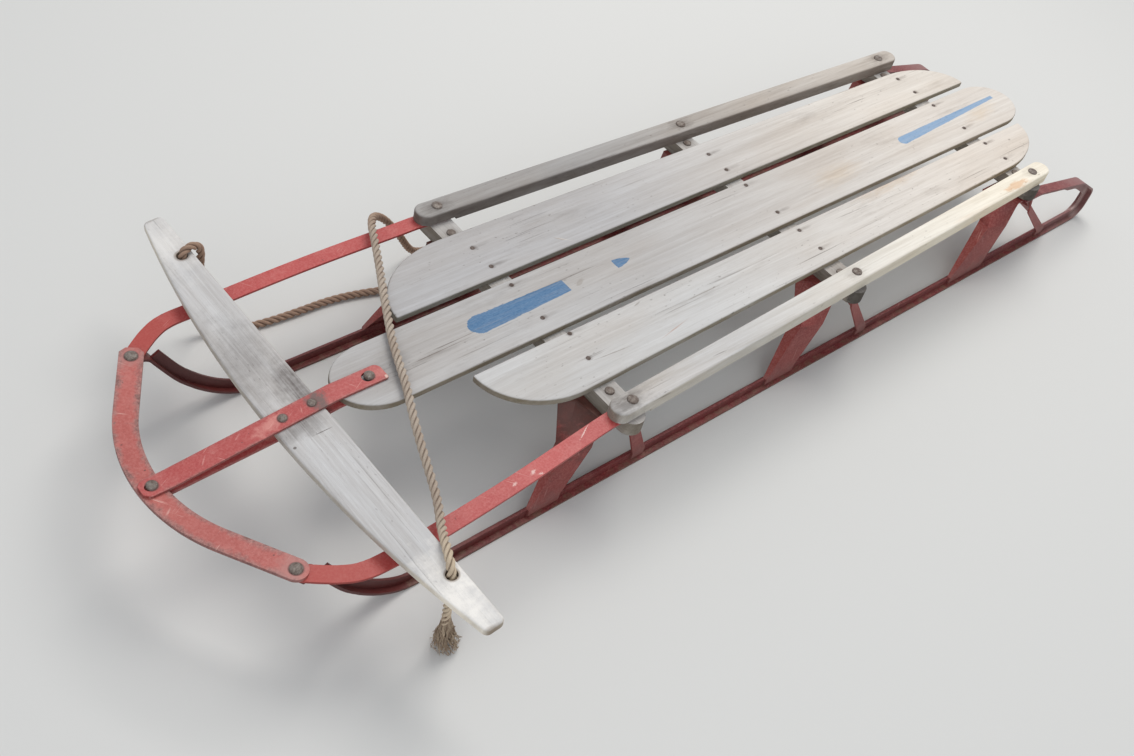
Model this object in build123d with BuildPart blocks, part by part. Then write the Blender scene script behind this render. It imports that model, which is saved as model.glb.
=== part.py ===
"""Steerable runner sled: a slatted wooden deck on three benches, steel runners on six pressed
knees, and a wooden crossbar that turns about the deck's nose and pushes the steel bow from
side to side. Millimetres, +X forward, +Y to the rider's left, +Z up, origin on the ground
in the middle of the sled's length.
"""

import os
from math import atan2, cos, hypot, radians, sin, tan

from build123d import *

os.makedirs("parts", exist_ok=True)

SIDES = (("left", 1), ("right", -1))

# Deck
deck_top = 143.0
slat_thick = 9.0
center_width = 85.0
center_y = 3.0
center_nose_x = 521.0
center_tail_x = -644.0
center_round = 54.0
outer_front_x = 298.0
outer_front_y = 130.0
outer_rear_x = -500.0
outer_rear_y = 115.5
outer_slats = (
    # side, sign, inner edge y, nose tip x, tail tip x
    ("left", 1, 54.6, 388.0, -602.0),
    ("right", -1, 50.4, 408.0, -604.0),
)

# Benches under the deck, and the feet of the knees on each
bench_thick = 18.0
bench_width = 29.0
rail_to_tip = 19.5
benches = (
    # name, x, bench rivet y, front foot ahead, front foot long, rear foot behind
    ("front", 269.0, 139.0, 97.0, 43.0, 75.0),
    ("mid", -113.5, 137.5, 100.0, 51.0, 95.0),
    ("rear", -509.0, 122.5, 114.0, 78.0, 120.0),
)

# Side rails, which close in towards the rear
rail_thick = 17.0
rail_width = 26.0
rail_y_at_front = 170.0
rail_y_at_rear = 143.0
rail_front_x = 297.0
rail_rear_x = -543.0
rail_edge = 3.0

# Runners: T-shaped steel, flange down, turned up at the front and back over at the rear
steel = 3.0
runner_y = 153.0
flange_width = 16.0
web_height = 11.0
toe_x = 556.0
toe_bend = (603.0, 51.0)
lip_x = 640.0
rear_x = -731.0
rear_rise = 50.0
rear_bend = (-676.0, 82.0)
tail_flat_x = -536.0
tail_end_x = -497.0
tail_inner_y = 113.0
web_rear_share = 0.2
web_taper_share = 0.55
web_front_share = 0.8

# Side straps from the front bench to the corners of the bow
strap_width = 19.0
strap_rear_x = 250.0
strap_low_x = 565.0
strap_path = (
    # x, y of the strap's middle line, which ends at the bow's corner
    (250.0, 168.5),
    (455.0, 176.5),
    (560.0, 180.0),
    (625.0, 179.0),
)
strap_radii = (300.0, 300.0, 22.0)
strap_bend = 16.0
strap_fall_radii = (120.0, 260.0)

# Bow across the front: straight sides that lean in from the corners, and a round middle
bow_front_x = 731.0
bow_width = 24.0
bow_thick = 4.0
bow_lean = 31.8
corner_x = 656.0
corner_y = 149.0
bow_overhang = 12.0
bow_clip = 6.0

# Steering crossbar and its two straps, which slope down from the deck's nose to the bow
pivot_x = 482.0
bow_bolt_x = 717.5
arm_y = 5.5
arm_width = 22.0
arm_rear_x = 465.0
arm_fall_x = 524.0
arm_front_x = 729.0
arm_bend = 40.0
arm_clip = 5.5
arm_round = 8.0
arm_corner = 2.0
bar_rear_x = 538.0
bar_width = 56.0
bar_half = 302.0
bar_tip_width = 22.0
bar_thick = 10.0
bar_edge = 3.0
tow_hole = 12.5
slot_play = 3.4
worn_hole = 12.0
worn_shift = 2.3

# On the crossbar, measured forward from its rear edge
tow_hole_in = 12.0
tow_hole_y = 237.0
bar_rivets_in = (9.0, 42.0)

# Fasteners and clearances
rivet_shank = 5.0
rivet_head = 11.0
rivet_high = 2.5
bolt_shank = 7.0
bolt_head = 17.0
bolt_high = 4.0
corner_head = 14.0
steering_head = 12.5
steering_high = 3.5
bore_gap = 0.25
slide_gap = 0.3
notch_gap = 1.0
lip_drop = 0.5
rope_gap = 1.0

# Knees: each leg is a strip creased along its length, from the bench's edge down to the runner
knee_sheet = 2.5
leg_turn_z = 75.0
leg_shapes = (
    # way, then the edge beside the arch, the crease and the inner edge, x from the bench's edge
    # and y: at the plate and at the turn
    (1, ((6.0, 155.0), (11.0, 120.0), (28.0, 110.0)), ((9.5, 157.0), (40.0, 147.0), (38.0, 130.0))),
    (-1, ((6.0, 155.0), (11.0, 120.0), (16.0, 110.0)), ((17.0, 157.0), (34.0, 152.0), (28.0, 131.0))),
)
rear_foot_long = 19.0
foot_lip = 5.0
foot_flare = 1.0
foot_drop = 9.0

# Tow rope
rope = 8.0
knot_round = 24.0
knot_high = 21.0
stub_long = 16.0
tail_sections = (
    # x, y, z and thickness of the frayed tail under the left knot
    (547.0, 237.0, 112.0, 8.0),
    (543.0, 235.0, 62.0, 9.0),
    (537.0, 233.0, 34.0, 23.0),
    (529.0, 232.0, 0.3, 36.0),
)
tail_facets = 10

# Levels worked out from the stack of wood and steel
slat_base = deck_top - slat_thick
bench_base = slat_base - bench_thick
rail_base = slat_base
rail_top = rail_base + rail_thick
strap_high = slat_base
lip_top = bench_base - lip_drop
strap_low = lip_top
bow_base = strap_low + steel
bow_top = bow_base + bow_thick
bow_middle_x = bow_front_x - bow_width / 2
bow_inner_x = bow_front_x - bow_width
bow_apex_x = corner_x + corner_y * tan(radians(bow_lean))
bow_radius = (bow_apex_x - bow_middle_x) / (1 / cos(radians(bow_lean)) - 1)

# Middle lines of the steering straps, and the slope that the crossbar lies on between them
upper_z = deck_top + slide_gap + steel / 2
lower_z = slat_base - slide_gap - steel / 2
upper_end = (bow_inner_x - steel, bow_top + slide_gap + steel / 2)
lower_end = (bow_inner_x - steel, bow_base - slide_gap - steel / 2)
fall = atan2(upper_z - upper_end[1], upper_end[0] - arm_fall_x)
along_bar = (cos(fall), 0, -sin(fall))
up_bar = (sin(fall), 0, cos(fall))
between_straps = (steel + bar_thick) / cos(fall)
bar_base_z = upper_z - (bar_rear_x - arm_fall_x) * tan(fall) - (steel / 2 + bar_thick) / cos(fall)
web_top = steel + web_height


def rail_y(x):
    """Middle of a side rail at x: the rails run in a straight line from bench to bench."""
    front, rear = benches[0][1], benches[-1][1]
    return rail_y_at_rear + (rail_y_at_front - rail_y_at_rear) * (x - rear) / (front - rear)


def offset_line(points, distance):
    """The same corners moved distance to the left of the line, so that bends keep parallel."""
    moved = []
    for i, (x, z) in enumerate(points):
        before = points[max(i - 1, 0)], points[max(i, 1)]
        after = points[min(i, len(points) - 2)], points[min(i + 1, len(points) - 1)]
        normals = []
        for (x0, z0), (x1, z1) in (before, after):
            run = hypot(x1 - x0, z1 - z0)
            normals.append(((z0 - z1) / run, (x1 - x0) / run))
        nx, nz = normals[0][0] + normals[1][0], normals[0][1] + normals[1][1]
        scale = 2 * distance / (nx * nx + nz * nz)
        moved.append((x + nx * scale, z + nz * scale))
    return moved


def on_bar(ahead, y, up):
    """A point given by its place on the crossbar: ahead of the rear edge and above the underside."""
    x = bar_rear_x + ahead * along_bar[0] + up * up_bar[0]
    return (x, y, bar_base_z + ahead * along_bar[2] + up * up_bar[2])


def between(a, b, share):
    """The point part of the way from a to b."""
    return (a[0] + (b[0] - a[0]) * share, a[1] + (b[1] - a[1]) * share)


def bolt_profile(base, top, shank, head, high):
    """Half of a round-headed bolt or rivet: clench, shank and crowned head, on the XZ plane."""
    Polyline(
        (0, base - high),
        (head * 0.4, base - high),
        (head * 0.4, base),
        (shank / 2, base),
        (shank / 2, top),
        (head / 2, top),
        (head / 2, top + high * 0.3),
        (head * 0.3, top + high * 0.85),
        (0, top + high),
        (0, base - high),
    )


# Center slat: a long board, its nose and tail rounded, bored for the steering bolt
with BuildPart() as slat_center:
    with BuildSketch(Plane.XY.offset(slat_base)):
        with Locations(((center_nose_x + center_tail_x) / 2, center_y)):
            Rectangle(center_nose_x - center_tail_x - 2 * center_round, center_width)
        for end in (center_nose_x - center_round, center_tail_x + center_round):
            with Locations((end, center_y)):
                Ellipse(center_round, center_width / 2)
        with Locations((pivot_x, arm_y)):
            Circle(bolt_shank / 2 + bore_gap, mode=Mode.SUBTRACT)
    extrude(amount=slat_thick)
slat_center.part.label = "slat_center"
export_step(slat_center.part, "parts/slat_center.step")

# Outer slats: straight inner edges, outer edges that follow the rails' taper
for side, s, inner_y, nose_x, tail_x in outer_slats:
    with BuildPart() as slat:
        with BuildSketch(Plane.XY.offset(slat_base)):
            Polygon(
                (outer_rear_x, s * inner_y),
                (outer_front_x, s * inner_y),
                (outer_front_x, s * outer_front_y),
                (outer_rear_x, s * outer_rear_y),
                align=None,
            )
            with Locations((outer_front_x, s * inner_y)):
                Ellipse(nose_x - outer_front_x, outer_front_y - inner_y)
            with Locations((outer_rear_x, s * inner_y)):
                Ellipse(outer_rear_x - tail_x, outer_rear_y - inner_y)
            with Locations((0, s * (inner_y + center_width))):
                Rectangle(2 * center_nose_x - 2 * center_tail_x, 2 * center_width, mode=Mode.INTERSECT)
        extrude(amount=slat_thick)
    slat.part.label = f"slat_{side}"
    export_step(slat.part, f"parts/slat_{side}.step")

# Benches: cross boards with round ends, bored for the rivets and the rail bolts
for name, bench_x, rivet_y, _, _, _ in benches:
    with BuildPart() as bench:
        with BuildSketch(Plane.XY.offset(bench_base)):
            with Locations((bench_x, 0)):
                SlotOverall(2 * (rail_y(bench_x) + rail_to_tip), bench_width, rotation=90)
            with Locations((bench_x, rivet_y), (bench_x, -rivet_y)):
                Circle(rivet_shank / 2 + bore_gap, mode=Mode.SUBTRACT)
            with Locations((bench_x, rail_y(bench_x)), (bench_x, -rail_y(bench_x))):
                Circle(bolt_shank / 2 + bore_gap, mode=Mode.SUBTRACT)
        extrude(amount=bench_thick)
    bench.part.label = f"bench_{name}"
    export_step(bench.part, f"parts/bench_{name}.step")

# Side rails: rounded hand rails, notched underneath where they lie on the side straps
rail_length = hypot(rail_front_x - rail_rear_x, rail_y(rail_front_x) - rail_y(rail_rear_x))
for side, s in SIDES:
    middle_x = (rail_front_x + rail_rear_x) / 2
    along = Plane(
        origin=(middle_x, s * rail_y(middle_x), rail_base),
        x_dir=(rail_front_x - rail_rear_x, s * (rail_y(rail_front_x) - rail_y(rail_rear_x)), 0),
        z_dir=(0, 0, 1),
    )
    with BuildPart() as rail:
        with BuildSketch(along):
            SlotOverall(rail_length, rail_width)
        extrude(amount=rail_thick)
        fillet(rail.edges().group_by(Axis.Z)[-1], rail_edge)
        notch_start = strap_rear_x - notch_gap
        notch_length = rail_front_x + rail_width - notch_start
        with Locations((notch_start + notch_length / 2, s * rail_y_at_front, rail_base)):
            Box(notch_length, 3 * rail_width, 2 * steel, mode=Mode.SUBTRACT)
        with BuildSketch(Plane.XY.offset(rail_base)):
            with Locations(*[(x, s * rail_y(x)) for _, x, *_ in benches]):
                Circle(bolt_shank / 2 + bore_gap)
        extrude(amount=rail_thick, mode=Mode.SUBTRACT)
    rail.part.label = f"rail_{side}"
    export_step(rail.part, f"parts/rail_{side}.step")

# Side straps: flat steel drawn in plan, cut to the band of height it follows to the bow
strap_levels = (
    (strap_rear_x - strap_width, strap_high + steel / 2),
    (benches[0][1] + bench_width / 2 + strap_bend, strap_high + steel / 2),
    (strap_low_x, strap_low + steel / 2),
    (bow_front_x, strap_low + steel / 2),
)
for side, s in SIDES:
    with BuildPart() as strap:
        with BuildSketch(Plane.XY.offset(lip_top - steel)):
            with BuildLine() as path:
                FilletPolyline(*[(x, s * y) for x, y in (*strap_path, (corner_x, corner_y))], radius=list(strap_radii))
            trace(path.line, line_width=strap_width)
            with Locations((corner_x, s * corner_y)):
                Circle(strap_width / 2)
                Circle(rivet_shank / 2 + bore_gap, mode=Mode.SUBTRACT)
            with Locations((benches[0][1], s * rail_y_at_front)):
                Circle(bolt_shank / 2 + bore_gap, mode=Mode.SUBTRACT)
        extrude(amount=deck_top - lip_top)
        with BuildSketch(Plane.XZ):
            with BuildLine() as path:
                FilletPolyline(*strap_levels, radius=list(strap_fall_radii))
            trace(path.line, line_width=steel)
        extrude(amount=runner_y + bench_width * 2, both=True, mode=Mode.INTERSECT)
    strap.part.label = f"side_strap_{side}"
    export_step(strap.part, f"parts/side_strap_{side}.step")

# Runners: a flange bent along its length, with a web standing on its inner face
rear_bench_x = benches[-1][1]
flange_line = (
    (tail_end_x, bench_base - steel / 2),
    (tail_flat_x, bench_base - steel / 2),
    (rear_bend[0], rear_bend[1]),
    (rear_x + steel / 2, rear_rise),
    (rear_x + steel / 2, steel / 2),
    (toe_x, steel / 2),
    toe_bend,
    (lip_x, lip_top - steel / 2),
    (corner_x + flange_width / 2, lip_top - steel / 2),
)
flange_radii = (60.0, 60.0, 20.0, 22.0, 46.0, 160.0, 16.0)
web_foot = offset_line(flange_line, steel / 2)
web_line = offset_line(flange_line, (steel + web_height) / 2)
web_edge = offset_line(flange_line, steel / 2 + web_height)
web_path = (
    between(web_line[2], web_line[1], web_rear_share),
    *web_line[2:7],
    between(web_line[6], web_line[7], web_front_share),
)
for side, s in SIDES:
    with BuildPart() as runner:
        with BuildSketch(Plane.XZ.offset(-s * runner_y)):
            with BuildLine() as path:
                FilletPolyline(*flange_line, radius=list(flange_radii))
            trace(path.line, line_width=steel)
        extrude(amount=flange_width / 2, both=True)
        with BuildSketch(Plane.XZ.offset(-s * runner_y)):
            with BuildLine() as path:
                FilletPolyline(*web_path, radius=[r - (steel + web_height) / 2 for r in flange_radii[1:-1]])
            trace(path.line, line_width=web_height)
            Polygon(
                between(web_foot[2], web_foot[1], web_rear_share),
                between(web_edge[2], web_edge[1], web_rear_share),
                between(web_foot[2], web_foot[1], web_taper_share),
                align=None,
            )
        extrude(amount=steel / 2, both=True)
        with BuildSketch(Plane.XY.offset(bench_base - steel)):
            with Locations(((rear_bench_x - bench_width / 2 + tail_end_x) / 2, s * (tail_inner_y + runner_y) / 2)):
                Rectangle(tail_end_x - rear_bench_x + bench_width / 2, runner_y - tail_inner_y)
        extrude(amount=steel)
        with Locations(
            (rear_bench_x, s * benches[-1][2], bench_base - steel / 2),
            (rear_bench_x, s * rail_y(rear_bench_x), bench_base - steel / 2),
        ):
            Cylinder(bolt_shank / 2 + bore_gap, 2 * steel, mode=Mode.SUBTRACT)
        with Locations((corner_x, s * corner_y, lip_top - steel / 2)):
            Cylinder(strap_width / 2, steel)
            Cylinder(rivet_shank / 2 + bore_gap, 2 * steel, mode=Mode.SUBTRACT)
    runner.part.label = f"runner_{side}"
    export_step(runner.part, f"parts/runner_{side}.step")

# Knees: one pressed strip each, flat under the bench, its two legs turned down to the runner
web_face = runner_y + steel / 2
foot_face = web_face + knee_sheet


def creased(points, s, way):
    """Section of a leg at one level: its three corners and the same corners a sheet further in."""
    back = offset_line(points, -way * knee_sheet)
    return [(x, s * y) for x, y in points + back[::-1]]


for name, bench_x, rivet_y, ahead, front_foot_long, behind in benches:
    plate_low = bench_base - knee_sheet - (steel if name == "rear" else 0.0)
    for side, s in SIDES:
        legs = []
        for way, top, turn in leg_shapes:
            edge = bench_x + way * bench_width / 2
            foot = bench_x + (ahead if way > 0 else -behind)
            heel = foot - way * (front_foot_long if way > 0 else rear_foot_long)
            legs.append(
                (
                    way,
                    [(edge + way * x, y) for x, y in top],
                    [(edge + way * x, y) for x, y in turn],
                    [(heel, foot_face), (foot, foot_face), (foot + way * foot_flare, foot_face - foot_lip)],
                ),
            )
        with BuildPart() as knee:
            with BuildSketch(Plane.XY.offset(plate_low)):
                outline = legs[0][1] + legs[1][1][::-1]
                Polygon(*[(x, s * y) for x, y in outline], align=None)
                plate_y = rail_y(bench_x) + bolt_head * 0.6
                with Locations((bench_x, s * (rivet_y + plate_y) / 2)):
                    Rectangle(bench_width * 0.75, plate_y - rivet_y)
                with Locations((bench_x, s * rivet_y)):
                    Circle(rivet_shank / 2 + bore_gap, mode=Mode.SUBTRACT)
                with Locations((bench_x, s * rail_y(bench_x))):
                    Circle(bolt_shank / 2 + bore_gap, mode=Mode.SUBTRACT)
            extrude(amount=knee_sheet)
            for way, top, turn, foot in legs:
                for level, points in ((plate_low, top), (leg_turn_z, turn), (web_top, foot)):
                    with BuildSketch(Plane.XY.offset(level)):
                        Polygon(*creased(points, s, way), align=None)
                loft(ruled=True)
                with Locations(((foot[0][0] + foot[1][0]) / 2, s * (web_face + knee_sheet / 2), web_top - foot_drop / 2)):
                    Box(abs(foot[1][0] - foot[0][0]), knee_sheet, foot_drop)
        knee.part.label = f"knee_{name}_{side}"
        export_step(knee.part, f"parts/knee_{name}_{side}.step")

# Steering crossbar: straight behind, bowed in front, bored for the tow rope
bar_plane = Plane(origin=on_bar(0, 0, 0), x_dir=along_bar, z_dir=up_bar)
with BuildPart() as steer_bar:
    with BuildSketch(bar_plane):
        with BuildLine():
            Line((bar_tip_width, -bar_half), (0, -bar_half))
            Line((0, -bar_half), (0, bar_half))
            Line((0, bar_half), (bar_tip_width, bar_half))
            ThreePointArc((bar_tip_width, bar_half), (bar_width, 0), (bar_tip_width, -bar_half))
        face = make_face()
        fillet(face.vertices(), bar_tip_width * 0.3)
    extrude(amount=bar_thick)
    broad = steer_bar.faces().sort_by(Axis.Z)
    fillet(broad[0].edges() + broad[-1].edges(), bar_edge)
    with BuildSketch(bar_plane):
        with Locations((tow_hole_in, tow_hole_y), (tow_hole_in, -tow_hole_y)):
            Circle(tow_hole / 2)
        with Locations(*[(ahead, arm_y) for ahead in bar_rivets_in]):
            Circle(rivet_shank / 2 + bore_gap)
    extrude(amount=bar_thick, mode=Mode.SUBTRACT)
steer_bar.part.label = "steer_bar"
export_step(steer_bar.part, "parts/steer_bar.step")

# Steering straps: one over and one under the deck's nose, the crossbar and the bow
upper_levels = (
    (arm_rear_x - arm_width, upper_z),
    (arm_fall_x, upper_z),
    upper_end,
    (bow_front_x + arm_width, upper_end[1]),
)
lower_fall_x = arm_fall_x + (upper_z - lower_z - between_straps) / tan(fall)
bar_front_x = bar_rear_x + bar_width + steel
lower_levels = (
    (arm_rear_x - arm_width, lower_z),
    (lower_fall_x, lower_z),
    (bar_front_x, lower_z - (bar_front_x - lower_fall_x) * tan(fall)),
    lower_end,
    (bow_front_x + arm_width, lower_end[1]),
)
for name, levels in (("steer_strap_upper", upper_levels), ("steer_strap_lower", lower_levels)):
    with BuildPart() as arm:
        with BuildSketch(Plane.XY.offset(lip_top - 2 * steel)) as outline:
            with Locations(((arm_rear_x + arm_front_x) / 2, arm_y)):
                Rectangle(arm_front_x - arm_rear_x, arm_width)
            ends = outline.vertices().group_by(Axis.X)
            chamfer(ends[-1], arm_clip)
            fillet(ends[0].sort_by(Axis.Y)[0], arm_round)
            fillet(outline.vertices().group_by(Axis.X)[0].sort_by(Axis.Y)[-1], arm_corner)
            with Locations((pivot_x + worn_shift, arm_y)):
                Circle(worn_hole / 2, mode=Mode.SUBTRACT)
            with Locations((bow_bolt_x + slot_play / 2, arm_y)):
                SlotCenterToCenter(slot_play, bolt_shank + 2 * bore_gap, mode=Mode.SUBTRACT)
        extrude(amount=deck_top)
        with BuildSketch(Plane.XZ):
            with BuildLine() as path:
                FilletPolyline(*levels, radius=[arm_bend] * (len(levels) - 2))
            trace(path.line, line_width=steel)
        extrude(amount=arm_width * 2, both=True, mode=Mode.INTERSECT)
        with BuildSketch(bar_plane.offset(-bar_thick)):
            with Locations(*[(ahead, arm_y) for ahead in bar_rivets_in]):
                Circle(rivet_shank / 2 + bore_gap)
        extrude(amount=3 * bar_thick, mode=Mode.SUBTRACT)
    arm.part.label = name
    export_step(arm.part, f"parts/{name}.step")

# Bow: flat steel bent in plan, one end rounded and the other with clipped corners
with BuildPart() as bow:
    with BuildSketch(Plane.XY.offset(bow_base)) as outline:
        end_x = corner_x - bow_overhang * sin(radians(bow_lean))
        end_y = corner_y + bow_overhang * cos(radians(bow_lean))
        with BuildLine() as path:
            FilletPolyline((end_x, -end_y), (bow_apex_x, 0), (corner_x, corner_y), radius=bow_radius)
        trace(path.line, line_width=bow_width)
        chamfer(outline.vertices().sort_by(Axis.Y)[:2], bow_clip)
        with Locations((corner_x, corner_y)):
            Circle(bow_width / 2)
        for s in (1, -1):
            with Locations((corner_x, s * corner_y)):
                Circle(rivet_shank / 2 + bore_gap, mode=Mode.SUBTRACT)
        with Locations((bow_bolt_x, arm_y)):
            Circle(bolt_shank / 2 + bore_gap, mode=Mode.SUBTRACT)
    extrude(amount=bow_thick)
bow.part.label = "bow"
export_step(bow.part, "parts/bow.step")

# Bolts and rivets, those of one body together
def clench_z(bench):
    """Underside of the knee's plate, which at the rear lies below the runner's tail."""
    return bench_base - knee_sheet - (steel if bench == "rear" else 0.0)


def upright(x, y, base, top):
    """A fastener standing at x and y, through what lies between base and top."""
    return ((x, y, 0), 0.0, base, top)


rivet = (rivet_shank, rivet_head, rivet_high)
corner_rivet = (rivet_shank, corner_head, rivet_high)
bolt = (bolt_shank, bolt_head, bolt_high)
steering_bolt = (bolt_shank, steering_head, steering_high)
fasteners = (
    # name, size, places as datum point, slope, underside and top side of what it holds
    ("nose_bolt", steering_bolt, [upright(pivot_x, arm_y, lower_z - steel / 2, upper_z + steel / 2)]),
    ("bar_rivets", rivet, [(on_bar(ahead, arm_y, 0), fall, -steel, bar_thick + steel) for ahead in bar_rivets_in]),
    ("bow_bolt", steering_bolt, [upright(bow_bolt_x, arm_y, lower_end[1] - steel / 2, upper_end[1] + steel / 2)]),
    ("corner_rivets", corner_rivet, [upright(corner_x, s * corner_y, lip_top - steel, bow_top) for _, s in SIDES]),
    (
        "bench_rivets",
        rivet,
        [upright(x, s * y, clench_z(n), slat_base) for n, x, y, *_ in benches for _, s in SIDES],
    ),
    (
        "rail_bolts",
        bolt,
        [upright(x, s * rail_y(x), clench_z(n), rail_top) for n, x, *_ in benches for _, s in SIDES],
    ),
)
for name, (shank, head, high), places in fasteners:
    with BuildPart() as bolts:
        for datum, slope, base, top in places:
            with BuildSketch(Plane(origin=datum, x_dir=(cos(slope), 0, -sin(slope)), z_dir=(0, -1, 0))):
                with BuildLine():
                    bolt_profile(base, top, shank, head, high)
                make_face()
            revolve(axis=Axis(datum, (sin(slope), 0, cos(slope))))
    bolts.part.label = name
    export_step(bolts.part, f"parts/{name}.step")

# Tow rope: up through the left hole, over the nose and the far strap, round on the ground,
# forward beside the runner, over the crossbar's rear edge and down through the right hole
floor = rope / 2 + slide_gap
rope_up = bar_thick + rope + rope_gap
over = on_bar(0, 0, rope_up)[2]
rope_route = (
    on_bar(tow_hole_in, tow_hole_y, 0),
    on_bar(tow_hole_in, tow_hole_y, rope_up),
    (541.0, 212.0, over),
    (526.0, 188.0, 137.0),
    (510.0, 161.0, 136.5),
    (498.0, 131.0, 138.5),
    (487.0, 100.0, 143.5),
    (475.0, 69.0, 149.5),
    (460.0, 38.0, 151.5),
    (448.0, 8.0, 150.5),
    (436.0, -21.0, 150.5),
    (422.0, -48.0, 152.0),
    (404.0, -82.0, 150.0),
    (384.0, -117.0, 147.0),
    (367.0, -149.0, 147.0),
    (351.0, -181.0, 146.0),
    (333.0, -203.0, 136.0),
    (309.0, -214.0, 115.0),
    (288.0, -218.0, 88.0),
    (268.0, -223.0, 58.0),
    (250.0, -231.0, 30.0),
    (231.0, -239.0, 8.0),
    (207.0, -236.0, floor + 0.3),
    (194.0, -215.0, floor),
    (204.0, -191.0, floor),
    (229.0, -180.0, floor),
    (259.0, -186.0, floor),
    (291.0, -199.0, floor),
    (326.0, -211.0, floor),
    (368.0, -219.5, floor),
    (412.0, -220.5, floor),
    (452.0, -223.0, floor),
    (486.0, -229.0, floor),
    (514.0, -240.0, floor + 0.5),
    (530.0, -247.0, 21.0),
    (531.0, -247.0, 50.0),
    (525.0, -244.0, 84.0),
    (521.0, -241.0, 120.0),
    (523.0, -239.0, over + rope_gap),
    on_bar(tow_hole_in, -tow_hole_y, rope_up),
    on_bar(tow_hole_in, -tow_hole_y, 0),
)
radii = []
for before, corner, after in zip(rope_route, rope_route[1:], rope_route[2:]):
    first, second = Vector(*corner) - Vector(*before), Vector(*after) - Vector(*corner)
    turn = first.get_angle(second)
    radii.append(0.45 * min(first.length, second.length) / tan(radians(turn / 2)))
with BuildPart() as tow_rope:
    with BuildLine() as path:
        FilletPolyline(*rope_route, radius=radii)
    with BuildSketch(Plane(origin=rope_route[0], z_dir=up_bar)):
        Circle(rope / 2)
    sweep()
tow_rope.part.label = "tow_rope"
export_step(tow_rope.part, "parts/tow_rope.step")
print("rope length", round(sum(edge.length for edge in path.edges()), 1))

# Knots under the crossbar: the left one has a long frayed tail, the right one a short stub
for side, s in SIDES:
    hole = on_bar(tow_hole_in, s * tow_hole_y, 0)
    with BuildPart() as knot:
        with BuildSketch(Plane(origin=hole, x_dir=along_bar, z_dir=(0, -1, 0))):
            with BuildLine():
                Polyline(
                    (0, 0),
                    (knot_round * 0.38, 0),
                    (knot_round * 0.46, -knot_high * 0.25),
                    (knot_round * 0.5, -knot_high * 0.5),
                    (knot_round * 0.42, -knot_high * 0.8),
                    (rope * 0.5, -knot_high),
                    (0, -knot_high),
                    (0, 0),
                )
            make_face()
        revolve(axis=Axis(hole, up_bar))
        if side == "left":
            for x, y, z, wide in tail_sections:
                with BuildSketch(Plane.XY.offset(z)):
                    with Locations((x, y)):
                        RegularPolygon(wide / 2, tail_facets)
            loft(ruled=True)
        else:
            with BuildSketch(Plane(origin=on_bar(tow_hole_in, -tow_hole_y, -knot_high - stub_long), z_dir=up_bar)):
                Circle(rope / 2)
            extrude(amount=stub_long + rope)
    knot.part.label = f"rope_knot_{side}"
    export_step(knot.part, f"parts/rope_knot_{side}.step")
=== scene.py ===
"""A steerable runner sled: weathered slats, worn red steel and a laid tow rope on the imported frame."""

import math

import bmesh
import bpy
import numpy as np
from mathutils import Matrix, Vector


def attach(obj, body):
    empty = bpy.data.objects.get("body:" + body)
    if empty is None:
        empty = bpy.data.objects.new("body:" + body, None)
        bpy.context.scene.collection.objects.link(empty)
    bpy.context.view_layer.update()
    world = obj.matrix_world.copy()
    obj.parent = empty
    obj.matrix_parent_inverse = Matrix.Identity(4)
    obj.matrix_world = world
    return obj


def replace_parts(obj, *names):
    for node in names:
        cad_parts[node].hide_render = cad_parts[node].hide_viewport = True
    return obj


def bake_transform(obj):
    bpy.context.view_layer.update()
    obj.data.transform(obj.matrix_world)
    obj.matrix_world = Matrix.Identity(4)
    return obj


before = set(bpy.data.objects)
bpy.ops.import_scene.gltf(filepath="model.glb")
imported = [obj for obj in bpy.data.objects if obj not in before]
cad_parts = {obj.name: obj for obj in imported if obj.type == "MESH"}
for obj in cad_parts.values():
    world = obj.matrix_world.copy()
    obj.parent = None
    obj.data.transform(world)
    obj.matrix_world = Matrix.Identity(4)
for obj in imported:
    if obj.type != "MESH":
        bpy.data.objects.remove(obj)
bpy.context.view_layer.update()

# Sizes that the looks share with the frame, in metres
DECK_TOP = 0.143
BENCH_LINES = (0.269, -0.1135, -0.509)
SLAT_BASE = 0.134
RAIL_TOP = 0.151
BENCH_BASES = (0.1135, 0.1135, 0.1105)
BENCH_RIVET_Y = (0.139, 0.1375, 0.1225)
RAIL_BOLT_Y = (0.170, 0.15673, 0.143)
CORNER_X, CORNER_Y = 0.656, 0.149
BOW_CENTER_X, BOW_RADIUS = 0.5526, 0.1664
BOW_TURN_Y = 0.0877
BOW_SIDE = (0.8499, 0.5270)
ARM_Y = 0.0055
NOSE_BOLT_X, BOW_BOLT_X = 0.482, 0.7175
STRAP_ON_SLAT, STRAP_ON_BOW = 0.1463, 0.1258
BAR_REAR, BAR_BASE = 0.538, 0.131631
BAR_AHEAD = (0.99358, 0.0, -0.11316)
BAR_UP = (0.11316, 0.0, 0.99358)
BAR_THICK, STRAP_THICK = 0.010, 0.003
BAR_RIVETS_IN = (0.009, 0.042)
TOW_HOLE_IN, TOW_HOLE_Y = 0.012, 0.237
TOW_HOLE_TOP_X, TOW_HOLE_REACH = 0.5511, 0.0062

# How far the heads reach: bench rivet, rail bolt, crossbar rivet, the two steering bolts, corner rivet
RIVET, RAIL_BOLT, BAR_RIVET, STEERING, CORNER = 0.0055, 0.0063, 0.0047, 0.0056, 0.0065

# Nails: each slat's two rows, and where the near slat's front pair stands instead
NAIL_ROWS = {"left": (0.0636, 0.100), "center": (0.0255, -0.0315), "right": (-0.066, -0.100)}
NEAR_FRONT_NAILS = ((0.2594, 0.0586), (0.2649, 0.0966))

# The rope's thickness, the width of its strands' round, and how long one turn of its lay is
ROPE, STRANDS_ROUND, ROPE_LAY = 0.008, 0.0094, 0.027


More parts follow.
